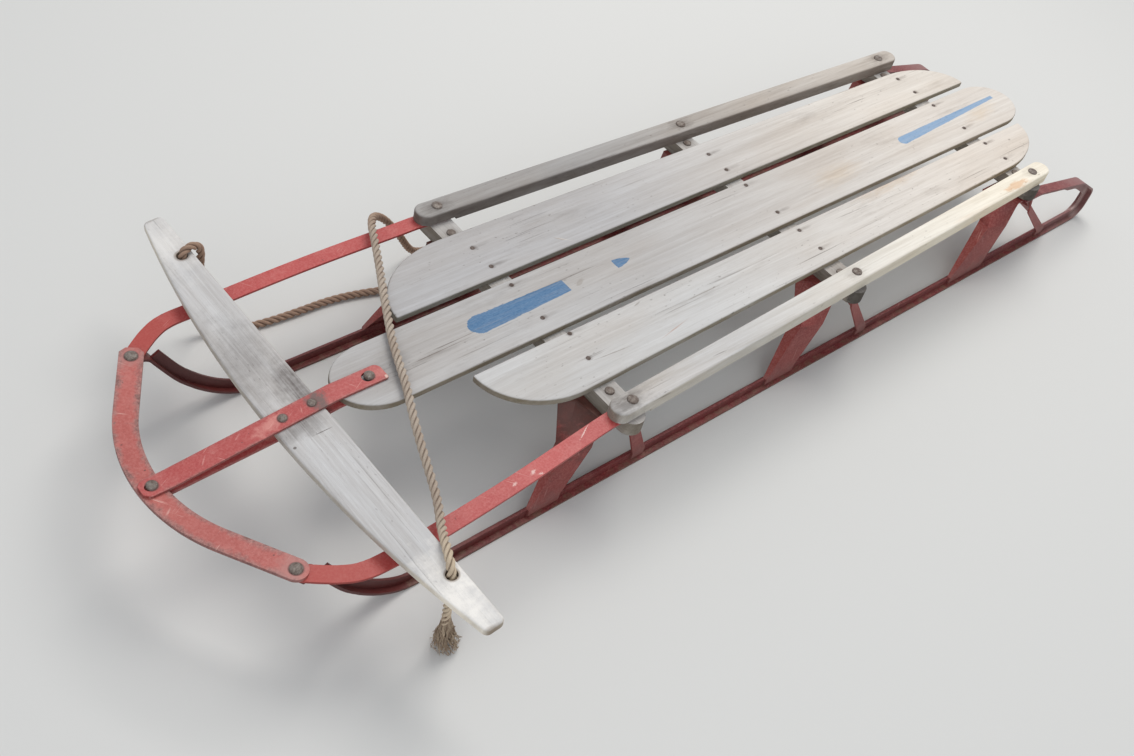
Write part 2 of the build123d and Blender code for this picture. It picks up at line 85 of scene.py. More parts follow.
def srgb(red, green, blue):
    """A colour written as it looks, 0 to 255, as the shader wants it."""
    out = []
    for value in (red, green, blue):
        share = value / 255
        out.append(share / 12.92 if share <= 0.04045 else ((share + 0.055) / 1.055) ** 2.4)
    return (*out, 1.0)


def placed(name, data):
    """A new object in the scene."""
    made = bpy.data.objects.new(name, data)
    bpy.context.scene.collection.objects.link(made)
    return made


def plain_mesh(shown):
    """The mesh that an object shows, modifiers and all."""
    bpy.context.view_layer.update()
    return bpy.data.meshes.new_from_object(shown.evaluated_get(bpy.context.evaluated_depsgraph_get()))


def shade(mesh, angle):
    """Smooth faces, with a sharp edge wherever they meet at more than the angle."""
    mesh.polygons.foreach_set("use_smooth", [True] * len(mesh.polygons))
    mesh.set_sharp_from_angle(angle=math.radians(angle))


def on_bar(ahead, y, up):
    """A point of the sloping crossbar, measured from its rear edge and its base."""
    x = BAR_REAR + BAR_AHEAD[0] * ahead + BAR_UP[0] * up
    return Vector((x, y, BAR_BASE + BAR_AHEAD[2] * ahead + BAR_UP[2] * up))


def nail_spots(slat):
    """Where a slat's nails sit: over the benches' lines, but for the near slat's front pair."""
    spots = [(line, row) for line in BENCH_LINES for row in NAIL_ROWS[slat]]
    return [*NEAR_FRONT_NAILS, *spots[2:]] if slat == "left" else spots


# The photo's camera

camera = placed("camera", bpy.data.cameras.new("camera"))
camera.location = (1.0707, 0.7052, 1.1302)
camera.rotation_euler = [math.radians(turn) for turn in (43.397, -11.364, 139.727)]
camera.data.sensor_width = 36.0
camera.data.lens = 42.39
camera.data.clip_start = 0.05
camera.data.clip_end = 60.0
bpy.context.scene.camera = camera
bpy.context.scene.view_settings.view_transform = "Standard"


# Nodes, written short


class Given:
    """What a node gives; a sum written with it becomes a node of the same tree."""

    def __init__(self, nodes, socket):
        self.nodes, self.socket = nodes, socket

    def sum(self, operation, second=0.0):
        """This number in a sum, alone or with a second one."""
        return self.nodes.get("ShaderNodeMath", {0: self, 1: second}, operation=operation)

    def __add__(self, other):
        return self.sum("ADD", other)

    def __sub__(self, other):
        return self.sum("SUBTRACT", other)

    def __mul__(self, other):
        return self.sum("MULTIPLY", other)

    def __truediv__(self, other):
        return self.sum("DIVIDE", other)

    def __pow__(self, other):
        return self.sum("POWER", other)

    def __gt__(self, other):
        return self.sum("GREATER_THAN", other)

    def __lt__(self, other):
        return self.sum("LESS_THAN", other)

    def __abs__(self):
        return self.sum("ABSOLUTE")

    def remap(self, low, high, out_low=0.0, out_high=1.0):
        """This number moved from one range to another, held at its ends."""
        inputs = {"Value": self, "From Min": low, "From Max": high, "To Min": out_low, "To Max": out_high}
        return self.nodes.get("ShaderNodeMapRange", inputs, "Result")

    def swing(self, reach):
        """This noise as a number up to the reach either way."""
        return self.remap(0.3, 0.7, -reach, reach)

    def ring(self, radius, wide):
        """This distance as a thin ring round the foot of a bolt, or round a hole."""
        return self.remap(radius + wide, radius + wide * 0.3)


def most(first, *others):
    """The largest of several masks."""
    for other in others:
        first = first.sum("MAXIMUM", other)
    return first


class Nodes:
    """A node tree, and what puts nodes in it."""

    def __init__(self, tree):
        self.tree = tree

    def add(self, kind, inputs=None, **settings):
        """One node; an input that another node gives is linked, any other is set."""
        node = self.tree.nodes.new(kind)
        for key, value in settings.items():
            setattr(node, key, value)
        for key, value in (inputs or {}).items():
            if isinstance(value, Given):
                self.tree.links.new(value.socket, node.inputs[key])
            else:
                node.inputs[key].default_value = value
        return node

    def get(self, kind, inputs=None, output=0, **settings):
        """What a new node gives."""
        return Given(self, self.add(kind, inputs, **settings).outputs[output])

    def parts(self, vector):
        """The three numbers of a vector."""
        return [Given(self, socket) for socket in self.add("ShaderNodeSeparateXYZ", {0: vector}).outputs]

    def joined(self, x, y, z=0.0):
        """A vector made of three numbers."""
        return self.get("ShaderNodeCombineXYZ", {0: x, 1: y, 2: z})

    def vector(self, operation, first, second=(0, 0, 0), output=0):
        """A sum of two vectors."""
        return self.get("ShaderNodeVectorMath", {0: first, 1: second}, output, operation=operation)


class Finish(Nodes):
    """A material in the making, with the colour that it has so far."""

    def __init__(self, name, roughness, metallic=0.0):
        self.material = bpy.data.materials.new(name)
        self.material.use_nodes = True
        super().__init__(self.material.node_tree)
        self.shader = self.tree.nodes["Principled BSDF"].inputs
        self.shader["Roughness"].default_value = roughness
        self.shader["Metallic"].default_value = metallic
        self.colour = None

    def at(self, kind="Object"):
        """Where a point of the surface is, or how it faces."""
        return self.get("ShaderNodeTexCoord", None, kind)

    def xyz(self):
        """The three numbers of where a point is."""
        return self.parts(self.at())

    def noise(self, scale, detail=4.0, rough=0.55, bend=0.0, turn=0.0, shift=(0.0, 0.0, 0.0)):
        """Smooth noise over the object; the scale is one number, or one for each axis."""
        scale = scale if isinstance(scale, tuple) else (scale,) * 3
        turned = {"Vector": self.at(), "Rotation": (0, 0, turn), "Location": shift}
        stretched = {"Vector": self.get("ShaderNodeMapping", turned), "Scale": scale}
        where = self.get("ShaderNodeMapping", stretched)
        inputs = {"Vector": where, "Scale": 1.0, "Detail": detail, "Roughness": rough, "Distortion": bend}
        return self.get("ShaderNodeTexNoise", inputs, "Fac")

    def ragged(self, scale, reach, detail=4.0, rough=0.6):
        """Noise for a patch's uneven edge, up to its reach either way."""
        return self.noise(scale, detail, rough).swing(reach)

    def facing(self, axis, low, high):
        """How much a face looks along one axis, either way, from 0 to 1."""
        return abs(self.parts(self.at("Normal"))["XYZ".index(axis)]).remap(low, high)

    def patch(self, center, reach, turn, soft, ragged):
        """A soft-edged patch: 1 in its middle and 0 past its reach."""
        inputs = {"Location": (*center, 0.0), "Rotation": (0, 0, turn), "Scale": (*reach, 1000.0)}
        near = self.get("ShaderNodeMapping", {"Vector": self.at(), **inputs}, vector_type="TEXTURE")
        far = self.vector("LENGTH", near, output="Value")
        return (far if ragged is None else far + ragged).remap(1.0, 1.0 - soft)

    def patches(self, ragged, rows):
        """Patches as one mask; a row is a center, a reach, a turn, a softness and, if under 1, a share."""
        masks = []
        for center, reach, turn, soft, *share in rows:
            mask = self.patch(center, reach, turn, soft, ragged)
            masks.append(mask * share[0] if share else mask)
        return most(*masks)

    def away(self, center):
        """How far a point lies from an upright line."""
        return self.vector("DISTANCE", self.vector("MULTIPLY", self.at(), (1, 1, 0)), (*center, 0), "Value")

    def mix(self, share, first, second, blend="MIX"):
        """Two colours mixed by a share; a colour in three numbers is written as it looks, 0 to 255."""
        first, second = (srgb(*tint) if isinstance(tint, tuple) else tint for tint in (first, second))
        inputs = {0: share, 6: first, 7: second}
        return self.get("ShaderNodeMix", inputs, 2, data_type="RGBA", blend_type=blend)

    def cover(self, share, tint):
        """A tint laid over the colour."""
        self.colour = self.mix(share, self.colour, tint)

    def stain(self, share, tint):
        """The colour darkened by a tint."""
        self.colour = self.mix(share, self.colour, tint, "MULTIPLY")

    def done(self, rough, height, depth):
        """The material, with its colour, its roughness and its relief joined to the shader."""
        bump = self.get("ShaderNodeBump", {"Height": height, "Distance": depth, "Strength": 1.0})
        for label, given in (("Base Color", self.colour), ("Roughness", rough), ("Normal", bump)):
            self.tree.links.new(given.socket, self.shader[label])
        return self.material


# Bare wood, grey from the weather


def weathered(name, marks, shift, warm, pale, rear, deep, side, turned=False, grain=1.0, cracks=1.0):
    """Bare wood whose grain runs along X, or along Y when turned, and whose colour goes from pale at the
    front to rear at the back: painted shade at the front and painted sunlight at the rear.
    """
    wood = Finish(name, 0.8)
    turn = math.pi / 2 if turned else 0.0

    def grown_noise(scale, detail, rough, bend=0.0, moved=(0, 0)):
        """Noise along the grain, from this wood's own part of the pattern."""
        return wood.noise(scale, detail, rough, bend, turn, (shift[0] + moved[0], shift[1] + moved[1], 0.0))

    # Painted light: pale is the front in painted shade, cooler and greyer; rear is the back in painted
    # sunlight, warmer and paler.
    if rear:
        pale = wood.mix(wood.xyz()[0].remap(0.10, -0.42), pale, rear)
    broad = grown_noise((1.3, 26.0, 18.0), 3.0, 0.6, 0.4).remap(0.36, 0.66)
    figure = grown_noise((3.6, 120.0, 60.0), 6.0, 0.66, 0.9).remap(0.36, 0.68)
    lines = grown_noise((11.0, 430.0, 200.0), 5.0, 0.7, 0.5).remap(0.38, 0.68)
    fibre = grown_noise((60.0, 1500.0, 900.0), 3.0, 0.7).remap(0.4, 0.7)
    tone = broad * 0.34 + figure * 0.40 + lines * 0.30 + fibre * 0.14
    wood.colour = wood.mix((tone - 0.12) * grain, pale, deep, "MULTIPLY")
    warmth = grown_noise((4.0, 13.0, 13.0), 4.0, 0.6, moved=(0, 3)).remap(0.45, 0.72)
    wood.stain(warmth * warm, (214, 186, 152))
    soot = grown_noise((9.0, 34.0, 30.0), 6.0, 0.7, moved=(0, 7))
    wood.stain(soot.remap(0.58, 0.80, 0.0, 0.40), (176, 170, 166))
    where = grown_noise((5.0, 24.0, 20.0), 2.0, 0.5, moved=(9, 0))
    splits = grown_noise((5.0, 520.0, 300.0), 2.0, 0.55, 0.3, (5, 0)).remap(0.655, 0.70)
    splits = splits * where.remap(0.5, 0.62)
    wood.cover(splits * (0.62 * cracks), (112, 102, 94))
    pits = grown_noise((160.0, 420.0, 300.0), 2.0, 0.4, moved=(2, 0)).remap(0.70, 0.74)
    pits = pits * where.remap(0.42, 0.6)
    wood.cover(pits * (0.55 * cracks), (104, 92, 84))
    marks(wood, lines)
    # Upright faces darkened towards the side colour: partly grime, partly painted shade on the sides.
    side_grime_and_shade = grown_noise((14.0, 40.0, 60.0), 5.0, 0.7).remap(0.3, 0.7, 0.55, 1.0)
    wood.stain(wood.facing("Z", 0.82, 0.35) * side_grime_and_shade, side)
    wood.stain(wood.facing("Y" if turned else "X", 0.72, 0.95) * 0.45, (176, 156, 132))
    height = lines * -0.35 - splits - fibre * 0.25 - pits * 0.8
    return wood.done(tone.remap(0.0, 1.0, 0.70, 0.86), height, 0.00035)


def drawn_rust(wood, slat):
    """Dark rust round each nail, drawn back along the grain by the rain."""
    rows = []
    for line, row in nail_spots(slat):
        share = 0.34 + 0.16 * math.sin(row * 800 + line * 60)
        rows.append(((line - 0.009, row), (0.017, 0.0034), 0, 0.95, share))
        rows.append(((line - 0.001, row), (0.0062, 0.0046), 0, 0.7, 0.62))
    wood.stain(wood.patches(wood.ragged((70.0, 420.0, 60.0), 0.25, 3.0), rows), (132, 118, 110))


def painted_shape(wood, nose_x, tail_x, middle, half, tail_middle, tail_half, blunt, bulge=1.0):
    """A painted shape along the deck: round nose, sides that close in, square tail."""
    x, y, _ = wood.xyz()
    along = x.remap(nose_x, tail_x)
    off = y - along.remap(0.0, 1.0, middle, tail_middle)
    across = off / (along**bulge).remap(0.0, 1.0, half, tail_half)
    nose = (x - (nose_x - half * blunt)).sum("MAXIMUM") / (half * blunt)
    return across * across + nose * nose, x > tail_x


def center_marks(wood, lines):
    """The center slat's nail rust, its long crack, the grey behind the strap and the blue that is left."""
    drawn_rust(wood, "center")
    ragged = wood.ragged((60.0, 300.0, 60.0), 0.3)
    wood.stain(wood.patch((0.452, 0.006), (0.030, 0.022), 0.9, 0.9, ragged) * 0.50, (176, 173, 173))
    crack = (((0.396, 0.0103), (0.048, 0.0008), 0.012, 0.5), ((0.372, 0.0062), (0.040, 0.0006), 0.02, 0.6))
    wood.cover(wood.patches(ragged, crack) * 0.75, (122, 112, 106))
    wood.stain(wood.patch((0.405, 0.012), (0.060, 0.006), 0.012, 0.9, ragged) * 0.40, (176, 170, 166))
    wood.stain(wood.patch((0.1965, 0.0026), (0.0075, 0.0032), 0.5, 0.4, ragged) * 0.35, (190, 176, 160))
    yellow = (((-0.245, 0.010), (0.060, 0.020), 0.1, 0.9), ((-0.565, 0.012), (0.050, 0.016), 0.2, 0.9))
    wood.stain(wood.patches(ragged, yellow) * 0.30, (250, 222, 178))
    shapes = (
        painted_shape(wood, 0.3515, 0.2125, 0.0, 0.0136, -0.0016, 0.0092, 1.3),
        painted_shape(wood, 0.1398, 0.1164, -0.0014, 0.0068, -0.0010, 0.0006, 0.12, 2.2),
        painted_shape(wood, -0.3890, -0.6170, 0.0028, 0.0078, -0.0050, 0.0030, 1.1),
    )
    uneven = wood.noise((90.0, 700.0, 60.0), 4.0, 0.7)
    edge = uneven.remap(0.3, 0.7, 0.84, 1.10)
    painted = most(*((far < edge) * inside for far, inside in shapes))
    worn = (lines + uneven * 0.5).remap(0.5, 1.35, 1.0, 0.70)
    weave = wood.noise((240.0, 900.0, 60.0), 3.0, 0.7).remap(0.35, 0.65)
    blue = wood.mix(weave, (68, 109, 149), (93, 129, 165))
    blue = wood.mix(wood.xyz()[0].remap(0.1, -0.35, 0.0, 0.80), blue, (143, 172, 203))
    specks = wood.noise((260.0, 420.0, 60.0), 3.0, 0.5).remap(0.66, 0.72, 0.0, 0.55)
    wood.cover(painted * worn, wood.mix(specks, blue, (66, 88, 112)))


def left_marks(wood, lines):
    """The near slat's nail rust, a few dents and a reddish scratch."""
    drawn_rust(wood, "left")
    ragged = wood.ragged((80.0, 300.0, 60.0), 0.3)
    dents = (
        ((0.160, 0.0605), (0.006, 0.0012), 0.2, 0.5),
        ((0.075, 0.085), (0.035, 0.0007), 0.0, 0.6),
        ((-0.205, 0.072), (0.042, 0.0008), -0.03, 0.6),
        ((0.236, 0.104), (0.030, 0.0008), -0.08, 0.6),
        ((-0.553, 0.0751), (0.0024, 0.0018), 0.0, 0.5),
    )
    wood.cover(wood.patches(ragged, dents) * 0.6, (134, 124, 116))
    wood.cover(wood.patch((0.149, 0.1112), (0.030, 0.0009), 0.17, 0.6, ragged) * 0.6, (176, 138, 122))
    wood.stain(wood.patch((-0.30, 0.056), (0.09, 0.014), 0.06, 0.95, ragged) * 0.40, (236, 206, 168))


def right_marks(wood, lines):
    """The far slat's nail rust and a slanting scratch."""
    drawn_rust(wood, "right")
    ragged = wood.ragged((80.0, 300.0, 60.0), 0.3)
    wood.cover(wood.patch((0.1696, -0.0658), (0.0085, 0.0007), -0.75, 0.5, ragged) * 0.7, (150, 132, 118))
    wood.cover(wood.patch((0.165, -0.0625), (0.012, 0.0012), -0.75, 0.7, ragged) * 0.3, (232, 222, 208))


def bar_marks(wood, lines):
    """The crossbar: grey beside the straps, a cut and two dots, painted sunlight over both ends, dirty tips
    and rubbed tow holes.
    """
    ragged = wood.ragged(60.0, 0.35, 5.0, 0.65)
    grey = (
        ((0.549, -0.030), (0.026, 0.050), 0.15, 0.95),
        ((0.566, -0.075), (0.034, 0.085), 0.0, 0.9, 0.55),
        ((0.566, 0.022), (0.040, 0.018), 0.0, 0.9, 0.75),
    )
    wood.stain(wood.patches(ragged, grey) * lines.remap(0.0, 1.0, 0.70, 1.0), (146, 140, 138))
    cut = wood.patch((0.5545, 0.0385), (0.0135, 0.0006), -0.06, 0.5, ragged)
    dots = (((0.589, 0.040), (0.0022, 0.0018), 0.0, 0.4), ((0.594, -0.176), (0.003, 0.0015), 0.4, 0.5))
    wood.cover(most(cut, wood.patches(None, dots)) * 0.75, (86, 76, 70))
    # Painted sunlight: near-white light over both ends of the crossbar, full on the near end and half on the
    # far end.
    sunlit_ends = (((0.562, 0.262), (0.060, 0.070), 0.0, 0.9), ((0.562, -0.262), (0.060, 0.060), 0.0, 0.9, 0.5))
    wood.cover(wood.patches(ragged, sunlit_ends) * 0.85, (250, 246, 240))
    tips = [((0.556, y), (0.022, 0.0045), 0.0, 0.8) for y in (0.3020, -0.3020)]
    wood.stain(wood.patches(ragged, tips) * 0.7, (158, 146, 134))
    holes = []
    for y, wide, uneven in ((TOW_HOLE_Y, 0.0022, 0.0012), (-TOW_HOLE_Y, 0.0030, 0.0016)):
        away = wood.away((TOW_HOLE_TOP_X, y)) + ragged * uneven
        holes.append(away.ring(TOW_HOLE_REACH, wide))
    wood.stain(most(*holes) * 0.6, (138, 118, 98))


def at_bolts(bolts_y, reach, soft, ahead=0.0, sides=(1, -1)):
    """Rows for patches at the benches' lines, each as far across as its bolt or rivet."""
    bolts = zip(BENCH_LINES, bolts_y)
    return [((line + ahead, side * y), reach, 0.0, soft) for line, y in bolts for side in sides]


def rail_marks(wood, lines):
    """The near rail: soot round its bolts, a worn front end and bare orange wood near its rear end."""
    ragged = wood.ragged((70.0, 200.0, 70.0), 0.4, 5.0, 0.65)
    orange = (
        ((-0.462, 0.1500), (0.032, 0.0072), -0.035, 0.55),
        ((-0.36, 0.1600), (0.065, 0.0050), -0.035, 0.9, 0.25),
    )
    wood.cover(wood.patches(ragged, orange) * 0.72, (222, 180, 140))
    soot = at_bolts(RAIL_BOLT_Y, (0.020, 0.011), 0.8, 0.003, (1,))
    wood.stain(wood.patches(ragged, soot) * 0.35, (160, 152, 148))
    wood.stain(wood.patch((0.285, 0.1705), (0.050, 0.022), 0.0, 0.9, ragged) * 0.75, (176, 174, 174))
    wood.cover(wood.patch((0.135, 0.1690), (0.012, 0.0007), -0.045, 0.6, ragged) * 0.7, (104, 94, 88))


def far_rail_marks(wood, lines):
    """The far rail: soot round its bolts."""
    ragged = wood.ragged((70.0, 200.0, 70.0), 0.4, 5.0, 0.65)
    soot = at_bolts(RAIL_BOLT_Y, (0.024, 0.013), 0.8, sides=(-1,))
    wood.stain(wood.patches(ragged, soot) * 0.5, (132, 120, 114))


def bench_marks(wood, lines):
    """The benches: soot round the rivets, and the two rear ones' ends darker."""
    soot = at_bolts(BENCH_RIVET_Y, (0.016, 0.014), 0.7)
    dark_ends = at_bolts([y + 0.022 for y in RAIL_BOLT_Y], (0.040, 0.017), 0.35)[2:]
    wood.stain(wood.patches(None, soot) * 0.4, (150, 142, 138))
    wood.stain(wood.patches(wood.ragged(90.0, 0.2), dark_ends) * 0.9, (132, 130, 130))


# Red paint on steel, faded, scratched and chipped


def worn_paint(name, red, deep, wear, dirt, scratches, marks, edge_of=None):
    """Old paint: faded patches, pale scratches, chips down to brown steel and a dirty rim."""
    paint = Finish(name, 0.55)
    fade = paint.noise(11.0, 5.0, 0.6).remap(0.32, 0.7)
    paint.colour = paint.mix(fade, red, deep)
    speckle = paint.noise(420.0, 5.0, 0.7)
    paint.cover(speckle.remap(0.44, 0.70, 0.0, 0.34), (208, 142, 134))
    paint.cover(speckle.remap(0.42, 0.30, 0.0, 0.40), (124, 62, 60))
    bloom = paint.noise(46.0, 6.0, 0.7, turn=0.3).remap(0.52, 0.74)
    paint.cover(bloom * 0.28, (208, 142, 134))
    chipping = paint.noise(85.0, 8.0, 0.72, 0.3, 0.4)
    rim = edge_of(paint) if edge_of else None
    chips = (chipping if rim is None else chipping + rim * 0.15).remap(0.76 - 0.10 * wear, 0.80 - 0.10 * wear)
    paint.cover(chips * 0.8, paint.mix(speckle.remap(0.35, 0.65), (96, 74, 68), (140, 122, 116)))
    pits = paint.noise(230.0, 2.0, 0.5, turn=1.1).remap(0.735 - 0.03 * wear, 0.76)
    paint.cover(pits * 0.8, (88, 62, 58))
    if rim is not None:
        grime = (rim + chipping.swing(0.55)).remap(0.25, 0.9, 0.0, dirt)
        paint.cover(grime, paint.mix(speckle.remap(0.38, 0.62), (122, 88, 83), (172, 128, 122)))
    lines = []
    for turn, shift in ((0.95, 2.0), (-0.5, 5.0)):
        line = paint.noise((26.0, 800.0, 26.0), 2.0, 0.5, turn=turn, shift=(shift, 0, 0)).remap(0.66, 0.71)
        lines.append(line * paint.noise(30.0, 2.0, shift=(shift, 1, 0)).remap(0.52, 0.62))
    paint.cover(most(*lines) * scratches, (226, 182, 172))
    marks(paint, chipping)
    paint.stain(paint.facing("Z", 0.8, 0.3) * 0.45, (160, 128, 124))
    height = speckle.remap(0.3, 0.7, 0.0, 0.25) - chips * 0.8 - pits * 0.6
    return paint.done(chips.remap(0.0, 1.0, 0.5, 0.8), height, 0.0002)


def bow_rim(paint):
    """How near a point of the bow is to its inner or outer edge, up to 1."""
    round_part = abs(paint.away((BOW_CENTER_X, 0)) - BOW_RADIUS)
    x, y, _ = paint.xyz()
    out = abs(y)
    straight_part = abs((x - CORNER_X) * BOW_SIDE[0] + (out - CORNER_Y) * BOW_SIDE[1])
    off = round_part + (straight_part - round_part) * (out > BOW_TURN_Y)
    return off.remap(0.0040, 0.0120)


def arm_rim(paint):
    """How near a point of a steering strap is to its long edges, up to 1."""
    return abs(paint.xyz()[1] - ARM_Y).remap(0.0082, 0.0112)


def painted_rivet_foot_shade(paint, centers, radius):
    """A painted dark ring of shade round the foot of each rivet."""
    rings = most(*(paint.away(center).ring(radius, 0.0016) for center in centers))
    paint.cover(rings * 0.7, (104, 72, 68))


def arm_marks(paint, chips):
    """The steering straps: grey round the rear rivet, rubbed by the front one, scratches and a chip."""
    ragged = chips.swing(0.6)
    paint.cover(paint.patch((0.5420, ARM_Y), (0.0125, 0.0165), 0.1, 0.55, ragged) * 0.94, (112, 92, 88))
    paint.cover(paint.patch((0.596, ARM_Y), (0.020, 0.009), 0.3, 0.8, ragged) * 0.55, (222, 158, 148))
    scratches = (
        ((0.6660, ARM_Y + 0.001), (0.0011, 0.0075), -0.75, 0.9),
        ((0.6270, ARM_Y - 0.005), (0.0010, 0.0055), -1.0, 0.9, 0.8),
        ((0.5610, ARM_Y + 0.001), (0.0009, 0.0050), -0.4, 0.9, 0.7),
    )
    paint.cover(paint.patches(ragged, scratches) * 0.5, (222, 168, 160))
    paint.cover(paint.patch((0.4672, 0.0142), (0.0030, 0.0024), 0.6, 0.4, ragged) * 0.8, (222, 200, 186))
    rear_end = paint.patch((0.471, ARM_Y + 0.001), (0.0135, 0.010), 0.0, 0.5, ragged)
    paint.cover(rear_end * 0.25, (216, 150, 140))
    rivets_x = [on_bar(ahead, 0, BAR_THICK + STRAP_THICK).x for ahead in BAR_RIVETS_IN]
    # Painted shade round the foot of each rivet and bolt.
    painted_rivet_foot_shade(paint, [(x, ARM_Y) for x in rivets_x], BAR_RIVET)
    painted_rivet_foot_shade(paint, [(NOSE_BOLT_X, ARM_Y), (BOW_BOLT_X, ARM_Y)], STEERING)


def bow_marks(paint, chips):
    """The bow: bare pinkish steel round its corner rivets, and two rubbed scratches."""
    ragged = chips.swing(0.45)
    bare = [((CORNER_X + 0.003, side * CORNER_Y), (0.019, 0.019), 0.0, 0.6) for side in (1, -1)]
    paint.cover(paint.patches(ragged, bare) * 0.55, (178, 130, 124))
    rubbed = (
        ((0.7182, 0.0364), (0.0014, 0.0065), -0.9, 0.9),
        ((0.6986, -0.0871), (0.0010, 0.0070), 0.9, 0.9),
    )
    paint.cover(paint.patches(ragged, rubbed) * 0.6, (222, 178, 168))
    # Painted shade round the foot of each corner rivet.
    painted_rivet_foot_shade(paint, [(CORNER_X, CORNER_Y), (CORNER_X, -CORNER_Y)], CORNER)


def strap_marks(paint, chips):
    """The side straps: a deeper red past the crossbar, and white flecks."""
    front = paint.xyz()[0] + chips.swing(0.01)
    paint.cover(front.remap(0.555, 0.610, 0.0, 0.60), (164, 58, 46))
    white = (
        ((0.4051, 0.1785), (0.0042, 0.0022), 0.5, 0.6),
        ((0.4294, 0.1800), (0.0034, 0.0018), 0.3, 0.7),
        ((0.3995, 0.1845), (0.0034, 0.0014), -0.3, 0.7),
        ((0.3316, 0.1690), (0.0120, 0.0008), 0.5, 0.5),
    )
    paint.cover(paint.patches(paint.ragged(900.0, 0.6), white) * 0.75, (232, 204, 196))


def knee_marks(paint, chips):
    """The knees: brown where the paint went on the front pair's tops, and dust at the feet."""
    x, _, z = paint.xyz()
    high = (z + chips.swing(0.035)).remap(0.060, 0.095)
    brown = paint.mix(chips.remap(0.35, 0.65), (72, 56, 48), (104, 62, 52))
    paint.cover(high * (x > 0.1) * 0.85, brown)
    low = (z + chips.swing(0.012)).remap(0.030, 0.006)
    paint.cover(low * 0.45, (142, 116, 110))


def runner_marks(paint, chips):
    """The runners: a dull grey loop at the rear, a dark front, and bare rusty feet."""
    x, _, z = paint.xyz()
    loop = x + chips.swing(0.02)
    paint.cover(loop.remap(-0.60, -0.66, 0.0, 0.72), (146, 110, 108))
    paint.cover(x.remap(0.30, 0.52, 0.0, 0.85), (84, 24, 18))
    worn = [((-0.716, y), (0.012, 0.012), 0.0, 0.7) for y in (0.153, -0.153)]
    paint.cover(paint.patches(None, worn) * 0.6, (190, 170, 164))
    low = z + chips.swing(0.004)
    paint.cover(low.remap(0.004, 0.0, 0.0, 0.8), (124, 96, 80))


# Bare fasteners and rope


def rusty_steel(name, grey, brown, metallic=0.35):
    """Dull steel gone brown in patches."""
    steel = Finish(name, 0.6, metallic)
    spots = steel.noise(260.0, 6.0, 0.7).remap(0.38, 0.62)
    pits = steel.noise(1400.0, 3.0, 0.6).remap(0.5, 0.7)
    steel.colour = steel.mix(spots, grey, brown)
    steel.cover(pits * 0.5, (66, 54, 50))
    return steel.done(spots.remap(0.0, 1.0, 0.45, 0.8), pits * -1.0, 0.00015)


def rope_tan(rope):
    """The rope's colour: cream by the near hole, browner towards the far end from dirt and painted shade;
    gives its hair.
    """
    hair = rope.noise(900.0, 4.0, 0.7).remap(0.35, 0.7)
    grime = rope.noise(20.0, 5.0, 0.6).remap(0.42, 0.68)
    y = rope.xyz()[1]
    rope.colour = rope.mix(hair, (214, 201, 185), (180, 164, 148))
    # Browner towards the far end: partly dirt, partly painted shade where the rope lies low behind the sled.
    rope.cover(y.remap(-0.165, -0.212, 0.0, 0.80), (164, 127, 104))
    rope.cover(y.remap(0.17, 0.235, 0.0, 0.7), (228, 207, 176))
    rope.cover(grime * 0.4, (146, 120, 102))
    return hair


def laid_rope(name):
    """Three strands of tan fibre; the mesh's UV map runs round each strand and along the rope."""
    rope = Finish(name, 0.9)
    around, along, _ = rope.parts(rope.get("ShaderNodeUVMap", uv_map="lay"))
    painted_groove_shade = abs(around.sum("FRACT") - 0.5).remap(0.30, 0.5)
    yarn = abs((around * 5.0 + along * -420.0).sum("FRACT") - 0.5).remap(0.15, 0.5)
    hair = rope_tan(rope)
    rope.cover(yarn * 0.32, (126, 106, 90))
    # Painted shade: the grooves between the strands are darkened.
    rope.cover(painted_groove_shade * 0.74, (96, 76, 64))
    return rope.done(hair.remap(0.0, 1.0, 0.85, 0.95), yarn * -0.6 - hair * 0.4, 0.0004)


def loose_fibre(name):
    """Fibres come out of the lay, tan to brown."""
    fibre = Finish(name, 0.9)
    hair = rope_tan(fibre)
    streak = fibre.noise((500.0, 500.0, 40.0), 3.0, 0.7).remap(0.4, 0.65, 0.30, 0.92)
    fibre.cover(streak, (102, 76, 58))
    return fibre.done(hair.remap(0.0, 1.0, 0.85, 0.95), hair, 0.0001)


# What Geometry Nodes make: heads on shanks, and the fibres of a frayed end


def tree_with(name, inputs):
    """An empty node tree with named inputs, and what they give."""
    tree = bpy.data.node_groups.new(name, "GeometryNodeTree")
    inputs = {"Geometry": "Geometry", **inputs}
    for label, kind in inputs.items():
        tree.interface.new_socket(label, in_out="INPUT", socket_type="NodeSocket" + kind)
    tree.interface.new_socket("Geometry", in_out="OUTPUT", socket_type="NodeSocketGeometry")
    nodes = Nodes(tree)
    start = nodes.add("NodeGroupInput").outputs
    return nodes, {label: Given(nodes, start[label]) for label in inputs}


def carried(nodes, name):
    """A vector that each point of the mesh carries."""
    return nodes.get("GeometryNodeInputNamedAttribute", {"Name": name}, data_type="FLOAT_VECTOR")


def close_tree(nodes, geometry, finish):
    """The tree's end: plain geometry in its finish."""
    plain = nodes.get("GeometryNodeRealizeInstances", {"Geometry": geometry})
    covered = nodes.get("GeometryNodeSetMaterial", {"Geometry": plain, "Material": finish})
    nodes.add("NodeGroupOutput", {0: covered})
    return nodes.tree


